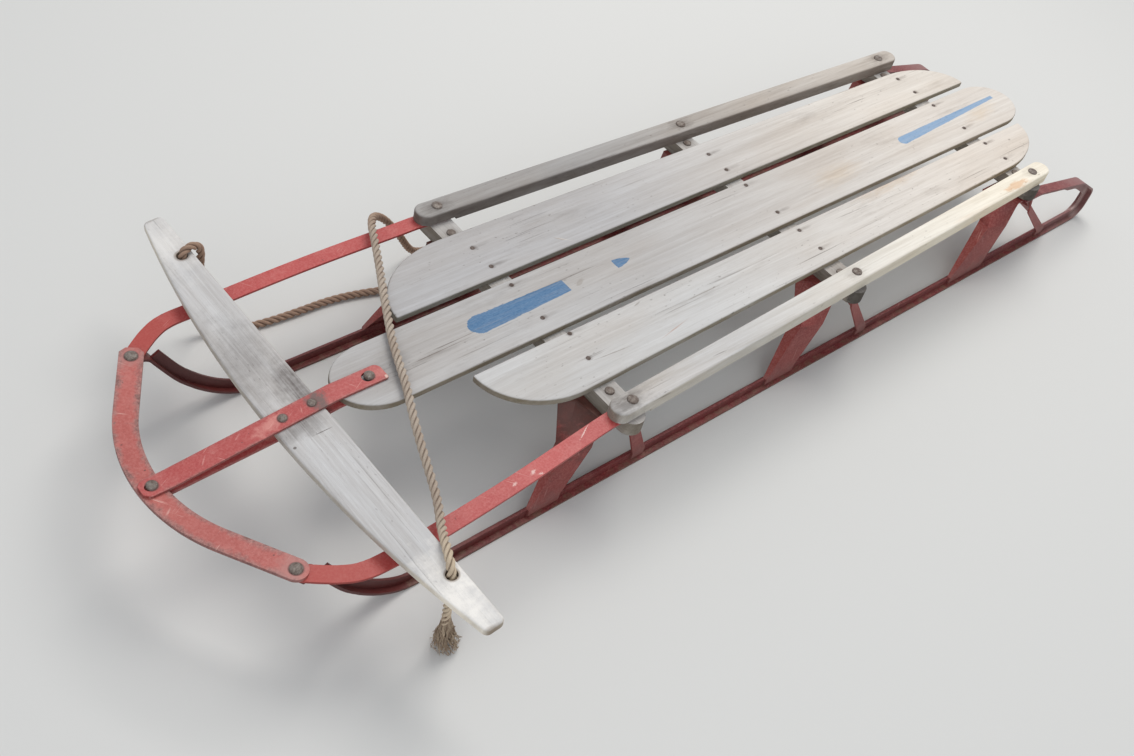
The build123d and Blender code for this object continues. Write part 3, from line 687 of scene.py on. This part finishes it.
def heads_tree():
    """On each point a crowned head, and a shank where the point carries one, turned to the point's axis."""
    inputs = {"Sides": "Int", "Rings": "Int", "Fullness": "Float", "Finish": "Material"}
    nodes, given = tree_with("heads_on_shanks", inputs)
    ball = {"Segments": given["Sides"], "Rings": given["Rings"], "Radius": 1.0}
    ball = nodes.get("GeometryNodeMeshUVSphere", ball, "Mesh")
    x, y, z = nodes.parts(nodes.get("GeometryNodeInputPosition"))
    crown = z.sum("MAXIMUM") ** given["Fullness"]
    head = nodes.get("GeometryNodeSetPosition", {"Geometry": ball, "Position": nodes.joined(x, y, crown)})
    rod = {"Vertices": given["Sides"], "Radius": 1.0, "Depth": 1.0}
    rod = nodes.get("GeometryNodeMeshCylinder", rod, "Mesh")
    rod = nodes.get("GeometryNodeTransform", {"Geometry": rod, "Translation": (0, 0, -0.5)})
    turned = nodes.get("FunctionNodeAlignRotationToVector", {"Vector": carried(nodes, "axis")}, axis="Z")
    shank = carried(nodes, "shank")
    common = {"Points": given["Geometry"], "Rotation": turned}
    heads = {**common, "Instance": head, "Scale": carried(nodes, "head")}
    rods = {**common, "Instance": rod, "Scale": shank, "Selection": nodes.parts(shank)[2] > 0.0}
    joined = nodes.add("GeometryNodeJoinGeometry")
    for made in (heads, rods):
        nodes.tree.links.new(nodes.get("GeometryNodeInstanceOnPoints", made).socket, joined.inputs[0])
    return close_tree(nodes, Given(nodes, joined.outputs[0]), given["Finish"])


def fibres_tree():
    """Wavy fibres that fan out from a tight top to a wide foot."""
    inputs = {"Fibres": "Int", "Thickness": "Float", "Top": "Vector", "Foot": "Vector"}
    inputs |= dict.fromkeys(("Top Reach", "Foot Reach", "Waves", "Lowest"), "Float")
    inputs |= {"Seed": "Int", "Finish": "Material"}
    nodes, given = tree_with("frayed_fibres", inputs)
    marks = nodes.get("GeometryNodeMeshLine", {"Count": given["Fibres"], "Offset": (0, 0, 0)})
    random = {"Min": (0, 0, 0), "Max": (math.tau, 1, 1), "Seed": given["Seed"]}
    random = nodes.get("FunctionNodeRandomValue", random, data_type="FLOAT_VECTOR")
    store = {"Geometry": marks, "Name": "fan", "Value": random}
    marks = nodes.get("GeometryNodeStoreNamedAttribute", store, data_type="FLOAT_VECTOR", domain="POINT")
    strand = nodes.get("GeometryNodeCurvePrimitiveLine", {"Start": (0, 0, 0), "End": (0, 0, 1)})
    strand = nodes.get("GeometryNodeResampleCurve", {"Curve": strand, "Count": 12})
    made = nodes.get("GeometryNodeInstanceOnPoints", {"Points": marks, "Instance": strand})
    made = nodes.get("GeometryNodeRealizeInstances", {"Geometry": made})
    bearing, share, lot = nodes.parts(carried(nodes, "fan"))
    along = nodes.get("GeometryNodeSplineParameter", None, "Factor") * lot.remap(0.0, 1.0, 0.72, 1.0)
    opened = along**1.5
    reach = nodes.get("ShaderNodeMix", {0: opened, 2: given["Top Reach"], 3: given["Foot Reach"]})
    reach = reach * share.sum("SQRT")
    bearing = bearing + along * 1.6
    off = nodes.joined(reach * bearing.sum("COSINE"), reach * bearing.sum("SINE"))
    line = nodes.get("ShaderNodeMix", {0: along, 4: given["Top"], 5: given["Foot"]}, 1, data_type="VECTOR")
    base = nodes.vector("ADD", line, off)
    where = nodes.joined(lot * 37.0 + bearing * 0.35, along * 5.0, share)
    wave = nodes.get("ShaderNodeTexNoise", {"Vector": where, "Scale": 1.3, "Detail": 2.0}, "Color")
    wave = nodes.vector("SUBTRACT", wave, (0.5, 0.5, 0.5))
    wave = nodes.get("ShaderNodeVectorMath", {0: wave, "Scale": given["Waves"] * opened}, operation="SCALE")
    x, y, z = nodes.parts(nodes.vector("ADD", base, wave))
    spot = nodes.joined(x, y, z.sum("MAXIMUM", given["Lowest"]))
    made = nodes.get("GeometryNodeSetPosition", {"Geometry": made, "Position": spot})
    section = {"Resolution": 4, "Radius": given["Thickness"] * 0.5}
    section = nodes.get("GeometryNodeCurvePrimitiveCircle", section, "Curve")
    made = {"Curve": made, "Profile Curve": section, "Fill Caps": True}
    return close_tree(nodes, nodes.get("GeometryNodeCurveToMesh", made), given["Finish"])


def grown(name, tree, start, settings, smooth):
    """What a tree makes of its start mesh, as a piece of plain mesh."""
    maker = placed(name + "_maker", start)
    modifier = maker.modifiers.new(name, "NODES")
    modifier.node_group = tree
    for item in tree.interface.items_tree:
        if item.in_out == "INPUT" and item.name in settings:
            modifier[item.identifier] = settings[item.name]
    mesh = plain_mesh(maker)
    bpy.data.objects.remove(maker)
    mesh.name = name
    shade(mesh, smooth)
    piece = placed(name, mesh)
    return piece


def heads(name, rows, body, finish, fullness=0.5, sides=28, rings=12):
    """Heads and shanks in one mesh; a row is a place, an axis, and each one's reach and height."""
    start = bpy.data.meshes.new(name + "_places")
    start.from_pydata([tuple(row[0]) for row in rows], [], [])
    measures = (
        ("axis", [tuple(row[1]) for row in rows]),
        ("head", [(row[2], row[2], row[3]) for row in rows]),
        ("shank", [(row[4], row[4], row[5]) for row in rows]),
    )
    for label, values in measures:
        layer = start.attributes.new(label, "FLOAT_VECTOR", "POINT")
        layer.data.foreach_set("vector", [part for value in values for part in value])
    settings = {"Sides": sides, "Rings": rings, "Fullness": fullness, "Finish": finish}
    piece = grown(name, HEADS_TREE, start, settings, 50.0)
    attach(piece, body)
    return piece


HEADS_TREE = heads_tree()
FIBRES_TREE = fibres_tree()


# Shapes taken over from the frame

SHARP_EDGE = math.radians(35.0)


def own_copy(node_name):
    """A node's shape as a joined mesh of this scene's own."""
    made = bmesh.new()
    made.from_mesh(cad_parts[node_name].data)
    bmesh.ops.remove_doubles(made, verts=made.verts, dist=0.00001)
    bmesh.ops.dissolve_limit(made, angle_limit=math.radians(0.6), verts=made.verts, edges=made.edges)
    return made


def take_off(made, edges, width, facets):
    """Corners taken off along some edges."""
    shape = {"segments": facets, "profile": 0.5, "clamp_overlap": True}
    bmesh.ops.bevel(made, geom=edges, offset=width, affect="EDGES", **shape)


def eased(made, width, facets=2):
    """Corners taken off along every sharp edge."""
    edges = [e for e in made.edges if len(e.link_faces) == 2 and e.calc_face_angle() > SHARP_EDGE]
    take_off(made, edges, width, facets)


def as_piece(name, made, material, smooth=40.0, even=True):
    """A finished mesh as an object at the origin; even shading keeps its large faces flat."""
    mesh = bpy.data.meshes.new(name)
    made.to_mesh(mesh)
    made.free()
    mesh.materials.append(material)
    shade(mesh, smooth)
    piece = placed(name, mesh)
    if even:
        modifier = piece.modifiers.new("even_shading", "WEIGHTED_NORMAL")
        modifier.keep_sharp = True
        modifier.weight = 100
        whole = plain_mesh(piece)
        piece.modifiers.clear()
        piece.data = whole
    return piece


def round_ends(made, past, width):
    """The ends of a bench, past the rails, worn round."""
    ends = []
    for edge in made.edges:
        if len(edge.link_faces) != 2 or min(abs(v.co.y) for v in edge.verts) < past:
            continue
        level = [abs(face.normal.z) > 0.7 for face in edge.link_faces]
        if level[0] != level[1] and edge.calc_face_angle() > 0.6:
            ends.append(edge)
    take_off(made, ends, width, 5)


def dress(name, node_name, body, width, material, facets=2, round_past=None):
    """A piece in place of one node: the same shape with its corners eased."""
    made = own_copy(node_name)
    if round_past:
        round_ends(made, round_past, 0.0055)
    eased(made, width, facets)
    piece = as_piece(name, made, material, 62.0 if round_past else 40.0)
    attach(piece, body)
    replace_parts(piece, node_name)
    return piece


# Tow rope: the same route as its solid, in metres

ROPE_ROUTE = (
    (0.54992, 0.237, 0.13027), (0.55207, 0.237, 0.14915), (0.541, 0.212, 0.1503),
    (0.526, 0.188, 0.137), (0.510, 0.161, 0.1365), (0.498, 0.131, 0.1385),
    (0.487, 0.100, 0.1435), (0.475, 0.069, 0.1495), (0.460, 0.038, 0.1507),
    (0.448, 0.008, 0.1505), (0.436, -0.021, 0.1505), (0.422, -0.048, 0.1507),
    (0.404, -0.082, 0.150), (0.384, -0.117, 0.147), (0.367, -0.149, 0.147),
    (0.351, -0.181, 0.146), (0.333, -0.203, 0.136), (0.309, -0.214, 0.115),
    (0.288, -0.218, 0.088), (0.268, -0.223, 0.058), (0.250, -0.231, 0.030),
    (0.231, -0.239, 0.008), (0.207, -0.236, 0.0051), (0.194, -0.215, 0.0050),
    (0.204, -0.191, 0.0050), (0.229, -0.180, 0.0050), (0.259, -0.186, 0.0050),
    (0.291, -0.199, 0.0050), (0.326, -0.211, 0.0050), (0.368, -0.2195, 0.0050),
    (0.412, -0.2205, 0.0050), (0.452, -0.223, 0.0050), (0.486, -0.229, 0.0050),
    (0.514, -0.240, 0.0054), (0.530, -0.247, 0.021), (0.531, -0.247, 0.050),
    (0.5285, -0.244, 0.084), (0.5275, -0.241, 0.112), (0.5278, -0.239, 0.1468),
    (0.5535, -0.237, 0.1480), (0.54992, -0.237, 0.13027),
)


def spline_line(name, points, resolution=16):
    """The points of one open smooth spline laid through its control points."""
    data = bpy.data.curves.new(name, "CURVE")
    data.dimensions = "3D"
    data.resolution_u = resolution
    spline = data.splines.new("NURBS")
    spline.points.add(len(points) - 1)
    for point, at in zip(spline.points, points):
        point.co = (*at, 1.0)
    spline.order_u = 3
    spline.use_endpoint_u = True
    guide = placed(name, data)
    mesh = plain_mesh(guide)
    line = [v.co.copy() for v in mesh.vertices]
    bpy.data.objects.remove(guide)
    bpy.data.meshes.remove(mesh)
    return line


def even_line(line, step):
    """The same line with points an even step apart, and how far along each one is."""
    far = [0.0]
    for a, b in zip(line, line[1:]):
        far.append(far[-1] + (b - a).length)
    marks = np.linspace(0.0, far[-1], max(2, round(far[-1] / step) + 1))
    axes = [np.interp(marks, far, [p[i] for p in line]) for i in range(3)]
    return [Vector(p) for p in zip(*axes)], marks


def lobed_tube(name, line, thick, finish, around=36):
    """A three-strand rope: a section of three lobes that turns as it goes along the line."""
    points, marks = even_line(line, 0.0012)
    strand = thick / 4
    section = []
    for j in range(around):
        angle = j / around * math.tau
        off = (angle % (math.tau / 3)) - math.tau / 6
        reach = strand * math.cos(off) + math.sqrt(max(0.0, strand**2 - (strand * math.sin(off)) ** 2))
        section.append((angle, min(reach, thick / 2)))
    made = bmesh.new()
    uv_layer = made.loops.layers.uv.new("lay")
    rings = []
    side = None
    for i, point in enumerate(points):
        ahead = (points[min(i + 1, len(points) - 1)] - points[max(i - 1, 0)]).normalized()
        if side is None:
            side = ahead.orthogonal().normalized()
        side = (side - ahead * side.dot(ahead)).normalized()
        other = ahead.cross(side)
        turn = marks[i] / ROPE_LAY * math.tau
        ring = []
        for angle, reach in section:
            direction = side * math.cos(angle + turn) + other * math.sin(angle + turn)
            ring.append(made.verts.new(point + direction * reach))
        rings.append(ring)
    for i, (low, high) in enumerate(zip(rings, rings[1:])):
        for j in range(around):
            k = (j + 1) % around
            face = made.faces.new((low[j], low[k], high[k], high[j]))
            spots = ((j, i), (j + 1, i), (j + 1, i + 1), (j, i + 1))
            for loop, (column, row) in zip(face.loops, spots):
                loop[uv_layer].uv = (column / around * 3, marks[row])
    made.faces.new(rings[0][::-1])
    made.faces.new(rings[-1])
    bmesh.ops.recalc_face_normals(made, faces=made.faces)
    return as_piece(name, made, finish, 80.0, even=False)


# A stopper knot: its turns, the points of one turn, its reach, how low it starts and its height
KNOT_TURNS, POINTS_A_TURN, KNOT_REACH, KNOT_START, KNOT_HEIGHT = 1.75, 8, 0.0074, 0.0056, 0.0125


def stopper_line(side, tail):
    """The line of a stopper knot under a tow hole: down the hole, round itself and on down its tail."""
    top = on_bar(TOW_HOLE_IN, side * TOW_HOLE_Y, 0.0)
    ahead, down = Vector(BAR_AHEAD), -Vector(BAR_UP)
    points = [top, top + down * 0.003]
    steps = round(KNOT_TURNS * POINTS_A_TURN)
    for step in range(steps + 1):
        angle = side * (0.6 + step / POINTS_A_TURN * math.tau)
        level = KNOT_START + KNOT_HEIGHT * step / steps
        away = ahead * math.cos(angle) + Vector((0, 1, 0)) * math.sin(angle)
        points.append(top + away * KNOT_REACH + down * level)
    return spline_line("stopper_line", points + [Vector(at) for at in tail], 10)


rope_finish = laid_rope("laid_rope")
fibre_finish = loose_fibre("loose_rope_fibre")
rope_line = spline_line("tow_rope_line", ROPE_ROUTE)
rope_points, rope_marks = even_line(rope_line, 0.004)
tow_rope = lobed_tube("tow_rope_strands", rope_line, STRANDS_ROUND, rope_finish)
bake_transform(tow_rope)
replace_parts(tow_rope, "tow_rope")

SIDES = (("left", 1), ("right", -1))
TAILS = {
    "left": (
        (0.5470, 0.2365, 0.1065),
        (0.5462, 0.2362, 0.094),
        (0.5446, 0.2356, 0.078),
        (0.5428, 0.2350, 0.062),
        (0.5415, 0.2345, 0.050),
    ),
    "right": ((0.5476, -0.2370, 0.1075), (0.5468, -0.2370, 0.1025), (0.5464, -0.2370, 0.0985)),
}
FRAYS = {
    # fibres, top, foot, reach at the top, reach at the foot, waves
    "left": (230, (0.5430, 0.2351, 0.066), (0.5310, 0.2325, -0.004), 0.0040, 0.0170, 0.023),
    "right": (60, (0.5470, -0.2370, 0.1035), (0.5458, -0.2370, 0.0925), 0.0036, 0.0058, 0.003),
}
rope_ends = []
for side_name, side in SIDES:
    line = stopper_line(side, TAILS[side_name])
    knot = lobed_tube(f"stopper_knot_{side_name}", line, STRANDS_ROUND * 0.97, rope_finish, 30)
    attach(knot, "steering")
    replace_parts(knot, f"rope_knot_{side_name}")
    settings = dict(zip(("Fibres", "Top", "Foot", "Top Reach", "Foot Reach", "Waves"), FRAYS[side_name]))
    settings |= {"Thickness": 0.0007, "Lowest": 0.0008, "Seed": 7, "Finish": fibre_finish}
    start = bpy.data.meshes.new("fray_start")
    fray = grown(f"frayed_end_{side_name}", FIBRES_TREE, start, settings, 80.0)
    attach(fray, "steering")
    rope_ends += [knot, fray]

# Woodwork

# The deck and rail woods go from pale, in painted shade at the front, to rear, in painted sunlight at the
# back.
deck_wood = weathered(
    "near_slat_wood", left_marks, (0.3, 0.2), 0.2,
    pale=(206, 206, 206), rear=(232, 225, 217), deep=(220, 216, 212), side=(158, 146, 118),
)
far_wood = weathered(
    "far_slat_wood", right_marks, (4.1, 1.7), 0.2,
    pale=(188, 188, 190), rear=(228, 222, 214), deep=(219, 214, 210), side=(150, 142, 116),
)
center_wood = weathered(
    "center_slat_wood", center_marks, (7.3, 3.9), 0.2,
    pale=(190, 189, 189), rear=(224, 218, 211), deep=(219, 214, 210), side=(158, 142, 108),
)
rail_wood = weathered(
    "near_rail_wood", rail_marks, (2.2, 5.5), 0.25,
    pale=(210, 210, 211), rear=(250, 243, 228), deep=(214, 208, 200), side=(240, 234, 220),
)
far_rail_wood = weathered(
    "far_rail_wood", far_rail_marks, (9.4, 2.5), 0.25,
    pale=(168, 167, 167), rear=(203, 196, 188), deep=(199, 193, 188), side=(176, 164, 156),
)
bench_wood = weathered(
    "bench_wood", bench_marks, (5.2, 8.1), 0.25,
    pale=(204, 202, 200), rear=None, deep=(196, 190, 184), side=(164, 155, 138), turned=True,
)
bar_wood = weathered(
    "crossbar_wood", bar_marks, (1.6, 6.2), 0.15,
    pale=(211, 211, 212), rear=None, deep=(198, 192, 187), side=(246, 238, 222), turned=True,
    grain=0.95, cracks=0.45,
)

for side_name, finish in (("left", deck_wood), ("center", center_wood), ("right", far_wood)):
    dress(f"deck_slat_{side_name}", f"slat_{side_name}", "root", 0.0022, finish, 3)
for where, bolt_y in zip(("front", "mid", "rear"), RAIL_BOLT_Y):
    dress(f"cross_bench_{where}", f"bench_{where}", "root", 0.0016, bench_wood, 2, bolt_y)
for side_name, finish in (("left", rail_wood), ("right", far_rail_wood)):
    dress(f"hand_rail_{side_name}", f"rail_{side_name}", "root", 0.0018, finish, 3)
dress("crossbar", "steer_bar", "steering", 0.0006, bar_wood)

# Steelwork: a paint's red and deeper red, how worn, dirty and scratched it is, its marks and its rims

arm_paint = worn_paint(
    "steering_strap_paint", (181, 77, 75), (165, 64, 63), 0.3, 0.45, 0.8, arm_marks, arm_rim
)
bow_paint = worn_paint("bow_paint", (184, 95, 87), (168, 79, 73), 0.75, 0.80, 0.6, bow_marks, bow_rim)
knee_paint = worn_paint("knee_paint", (166, 74, 67), (126, 52, 50), 0.7, 0.6, 0.35, knee_marks)
strap_paint = worn_paint("side_strap_paint", (187, 75, 73), (171, 63, 62), 0.35, 0.5, 0.45, strap_marks)
runner_paint = worn_paint("runner_paint", (128, 45, 47), (96, 33, 36), 0.5, 0.5, 0.25, runner_marks)

for level in ("upper", "lower"):
    dress(f"steering_strap_{level}", f"steer_strap_{level}", "steering", 0.0005, arm_paint)
dress("front_bow", "bow", "bow", 0.0007, bow_paint)
for where in ("front", "mid", "rear"):
    for side_name, _ in SIDES:
        place = f"{where}_{side_name}"
        dress(f"pressed_knee_{place}", f"knee_{place}", "root", 0.0004, knee_paint)

# The side strap's middle line on the plan: as the frame has it, and with the longer bend that the photo shows
FRAME_STRAP = (
    (0.250, 0.1685), (0.455, 0.1765), (0.560, 0.1800), (0.6076, 0.1793),
    (0.625, 0.1790), (0.6375, 0.1669), (0.656, 0.149), (0.678, 0.1277),
)
PHOTO_STRAP = (
    (0.250, 0.1685), (0.300, 0.1705), (0.350, 0.1742), (0.430, 0.1797), (0.510, 0.1822), (0.570, 0.1822),
    (0.604, 0.1815), (0.625, 0.1722), (0.6470, 0.1568), (0.656, 0.149), (0.680, 0.1282),
)

# The runner's flange seen from the side; in the photo it leaves the ground sooner and in a rounder curve
TOE_LEVEL = 0.114
FRAME_TOE = (
    (0.470, 0.0015), (0.5164, 0.0015), (0.556, 0.0015), (0.5833, 0.0302), (0.603, 0.051), (0.6307, 0.0981),
    (0.640, TOE_LEVEL), (0.6584, TOE_LEVEL), (0.690, TOE_LEVEL),
)
PHOTO_TOE = (
    (0.470, 0.0015), (0.495, 0.0015), (0.530, 0.0015), (0.566, 0.0215), (0.604, 0.0575), (0.6315, 0.0995),
    (0.640, TOE_LEVEL), (0.6584, TOE_LEVEL), (0.690, TOE_LEVEL),
)

# Where extra cuts let the steel bend, and how far past its corner rivet a runner ends
RUNNER_CUTS = (*np.arange(0.27, 0.47, 0.03), *np.arange(0.475, 0.64, 0.005))
STRAP_CUTS = np.arange(0.265, 0.66, 0.0075)
PAST_RIVET = 0.0058


def nearest(line, spot):
    """Which point of a line is nearest to a spot."""
    return int(np.argmin(np.hypot(*(line - np.array(spot)).T)))


def course(line, mark):
    """A point of a line that has neighbours on both sides, and which way the line goes there."""
    mark = min(max(mark, 1), len(line) - 2)
    ahead = line[mark + 1] - line[mark - 1]
    return mark, ahead / np.hypot(*ahead)


def onto_photo_line(made, frame_line, photo_line, pin, axis, side):
    """Points moved from the frame's middle line to the photo's, each as far beside the line as before."""
    lines = []
    for name, line in (("frame_line", frame_line), ("photo_line", photo_line)):
        fine = even_line(spline_line(name, [(x, other, 0) for x, other in line]), 0.0005)[0]
        lines.append(np.array([p[:2] for p in fine]))
    before, after = lines
    pins = [nearest(line, pin) for line in lines]
    for vertex in made.verts:
        if vertex.co.x < frame_line[0][0]:
            continue
        spot = np.array((vertex.co.x, vertex.co[axis] * side))
        near, ahead = course(before, nearest(before, spot))
        away = spot - before[near]
        beside = ahead[0] * away[1] - ahead[1] * away[0]
        past = away @ ahead
        share = near / pins[0] if near < pins[0] else 1 + (near - pins[0]) / pins[1]
        there, onward = course(after, round(share * pins[1]))
        spot = after[there] + onward * past + np.array((-onward[1], onward[0])) * beside
        vertex.co.x, vertex.co[axis] = spot[0], spot[1] * side


def sliced(made, at, across, **settings):
    """A flat cut through the whole mesh."""
    whole = made.verts[:] + made.edges[:] + made.faces[:]
    bmesh.ops.bisect_plane(made, geom=whole, plane_co=at, plane_no=across, **settings)


def bending_steel(name, node_name, paint, side, is_strap):
    """A runner or side strap whose front end follows the bow."""
    made = own_copy(node_name)
    if not is_strap:
        across = (BOW_SIDE[0], side * BOW_SIDE[1], 0)
        end = (CORNER_X + BOW_SIDE[0] * PAST_RIVET, side * (CORNER_Y + BOW_SIDE[1] * PAST_RIVET), 0)
        sliced(made, end, across, clear_outer=True)
        bmesh.ops.holes_fill(made, edges=[e for e in made.edges if e.is_boundary])
        bmesh.ops.recalc_face_normals(made, faces=made.faces)
    eased(made, 0.0004)
    for x in STRAP_CUTS if is_strap else RUNNER_CUTS:
        sliced(made, (x, 0, 0), (1, 0, 0))
    if is_strap:
        onto_photo_line(made, FRAME_STRAP, PHOTO_STRAP, (CORNER_X, CORNER_Y), 1, side)
    else:
        onto_photo_line(made, FRAME_TOE, PHOTO_TOE, (CORNER_X, TOE_LEVEL), 2, 1)
    piece = as_piece(name, made, paint)
    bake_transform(piece)
    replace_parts(piece, node_name)


for side_name, side in SIDES:
    bending_steel(f"runner_steel_{side_name}", f"runner_{side_name}", runner_paint, side, False)
    bending_steel(f"side_strap_steel_{side_name}", f"side_strap_{side_name}", strap_paint, side, True)

# Rivets, bolts and nails: a place, an axis, the head's reach and height, the shank's reach and length

UP, DOWN = Vector((0, 0, 1)), Vector((0, 0, -1))
NOSE_GRIP, BOW_GRIP = 0.0156, 0.0106
CORNER_TOP, CORNER_BASE = 0.1225, 0.1125

frame_rows = []
for line, base, rivet_y, bolt_y in zip(BENCH_LINES, BENCH_BASES, BENCH_RIVET_Y, RAIL_BOLT_Y):
    for _, side in SIDES:
        frame_rows += [
            ((line, side * rivet_y, SLAT_BASE), UP, RIVET, 0.0025, 0.0028, SLAT_BASE - base),
            ((line, side * rivet_y, base), DOWN, RIVET * 0.8, 0.0022, 0.0028, 0.0),
            ((line, side * bolt_y, RAIL_TOP), UP, RAIL_BOLT, 0.0024, 0.0035, RAIL_TOP - base),
            ((line, side * bolt_y, base), DOWN, RAIL_BOLT * 0.85, 0.0035, 0.0035, 0.0),
        ]
frame_rows += [
    ((NOSE_BOLT_X, ARM_Y, STRAP_ON_SLAT), UP, STEERING, 0.0035, 0.0038, NOSE_GRIP),
    ((NOSE_BOLT_X, ARM_Y, STRAP_ON_SLAT - NOSE_GRIP), DOWN, STEERING, 0.0033, 0.0038, 0.0),
]
fastener_steel = rusty_steel("rivet_and_bolt_steel", (142, 134, 127), (108, 94, 86))
frame_heads = heads("frame_rivets_and_bolts", frame_rows, "root", fastener_steel, 0.4)
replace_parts(frame_heads, "bench_rivets", "rail_bolts", "nose_bolt")

bar_rows = []
for ahead in BAR_RIVETS_IN:
    over, under = on_bar(ahead, ARM_Y, BAR_THICK + STRAP_THICK), on_bar(ahead, ARM_Y, -STRAP_THICK)
    bar_rows.append((over, Vector(BAR_UP), BAR_RIVET, 0.0023, 0.0026, BAR_THICK + 2 * STRAP_THICK))
    bar_rows.append((under, -Vector(BAR_UP), BAR_RIVET, 0.0023, 0.0026, 0.0))
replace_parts(heads("crossbar_rivets", bar_rows, "steering", fastener_steel), "bar_rivets")

bow_rows = [
    ((BOW_BOLT_X, ARM_Y, STRAP_ON_BOW), UP, STEERING, 0.0035, 0.0036, BOW_GRIP),
    ((BOW_BOLT_X, ARM_Y, STRAP_ON_BOW - BOW_GRIP), DOWN, STEERING, 0.0033, 0.0036, 0.0),
]
for _, side in SIDES:
    bow_rows.append(((CORNER_X, side * CORNER_Y, CORNER_TOP), UP, CORNER, 0.0025, 0.0034, 0.0100))
    bow_rows.append(((CORNER_X, side * CORNER_Y, CORNER_BASE), DOWN, CORNER, 0.0024, 0.0034, 0.0))
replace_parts(heads("bow_rivets_and_bolt", bow_rows, "bow", fastener_steel), "corner_rivets", "bow_bolt")

nail_rows = []
for slat in NAIL_ROWS:
    for line, row in nail_spots(slat):
        lean = Vector((0.05 * math.sin(row * 900 + line * 70), 0.05 * math.cos(row * 700 - line * 90), 1.0))
        spot = (line + 0.0012 * math.sin(row * 500 + line * 31), row, DECK_TOP - 0.0001)
        nail_rows.append((spot, lean, 0.0028, 0.0007, 0.0012, 0.012))
nail_iron = rusty_steel("nail_iron", (104, 92, 86), (78, 62, 54), 0.2)
heads("deck_nails", nail_rows, "root", nail_iron, 0.4, 16, 8)

# Floor and lights

floor_mesh = bpy.data.meshes.new("floor")
floor_mesh.from_pydata([(-9, -9, 0), (9, -9, 0), (9, 9, 0), (-9, 9, 0)], [], [(0, 1, 2, 3)])
floor = placed("floor", floor_mesh)
floor_finish = Finish("pale_floor", 0.9)
floor_finish.shader["Base Color"].default_value = srgb(214, 214, 212)
floor_mesh.materials.append(floor_finish.material)


def soft_lamp(name, at, toward, size, power, colour):
    """A large square lamp."""
    data = bpy.data.lights.new(name, "AREA")
    data.size = size
    data.energy = power
    data.color = colour
    lamp = placed(name, data)
    lamp.location = at
    lamp.rotation_euler = (Vector(toward) - Vector(at)).to_track_quat("-Z", "Y").to_euler()


soft_lamp("high_lamp", (-0.9, -0.6, 2.6), (0.0, 0.0, 0.1), 1.6, 46.0, (1.0, 0.97, 0.93))
soft_lamp("front_lamp", (2.2, 1.9, 1.8), (0.1, 0.0, 0.1), 2.2, 22.0, (0.94, 0.97, 1.0))
world = bpy.data.worlds.new("studio")
bpy.context.scene.world = world
world.use_nodes = True
background = world.node_tree.nodes["Background"].inputs
background["Color"].default_value = (0.93, 0.96, 1.0, 1.0)
background["Strength"].default_value = 0.55

bpy.context.view_layer.update()
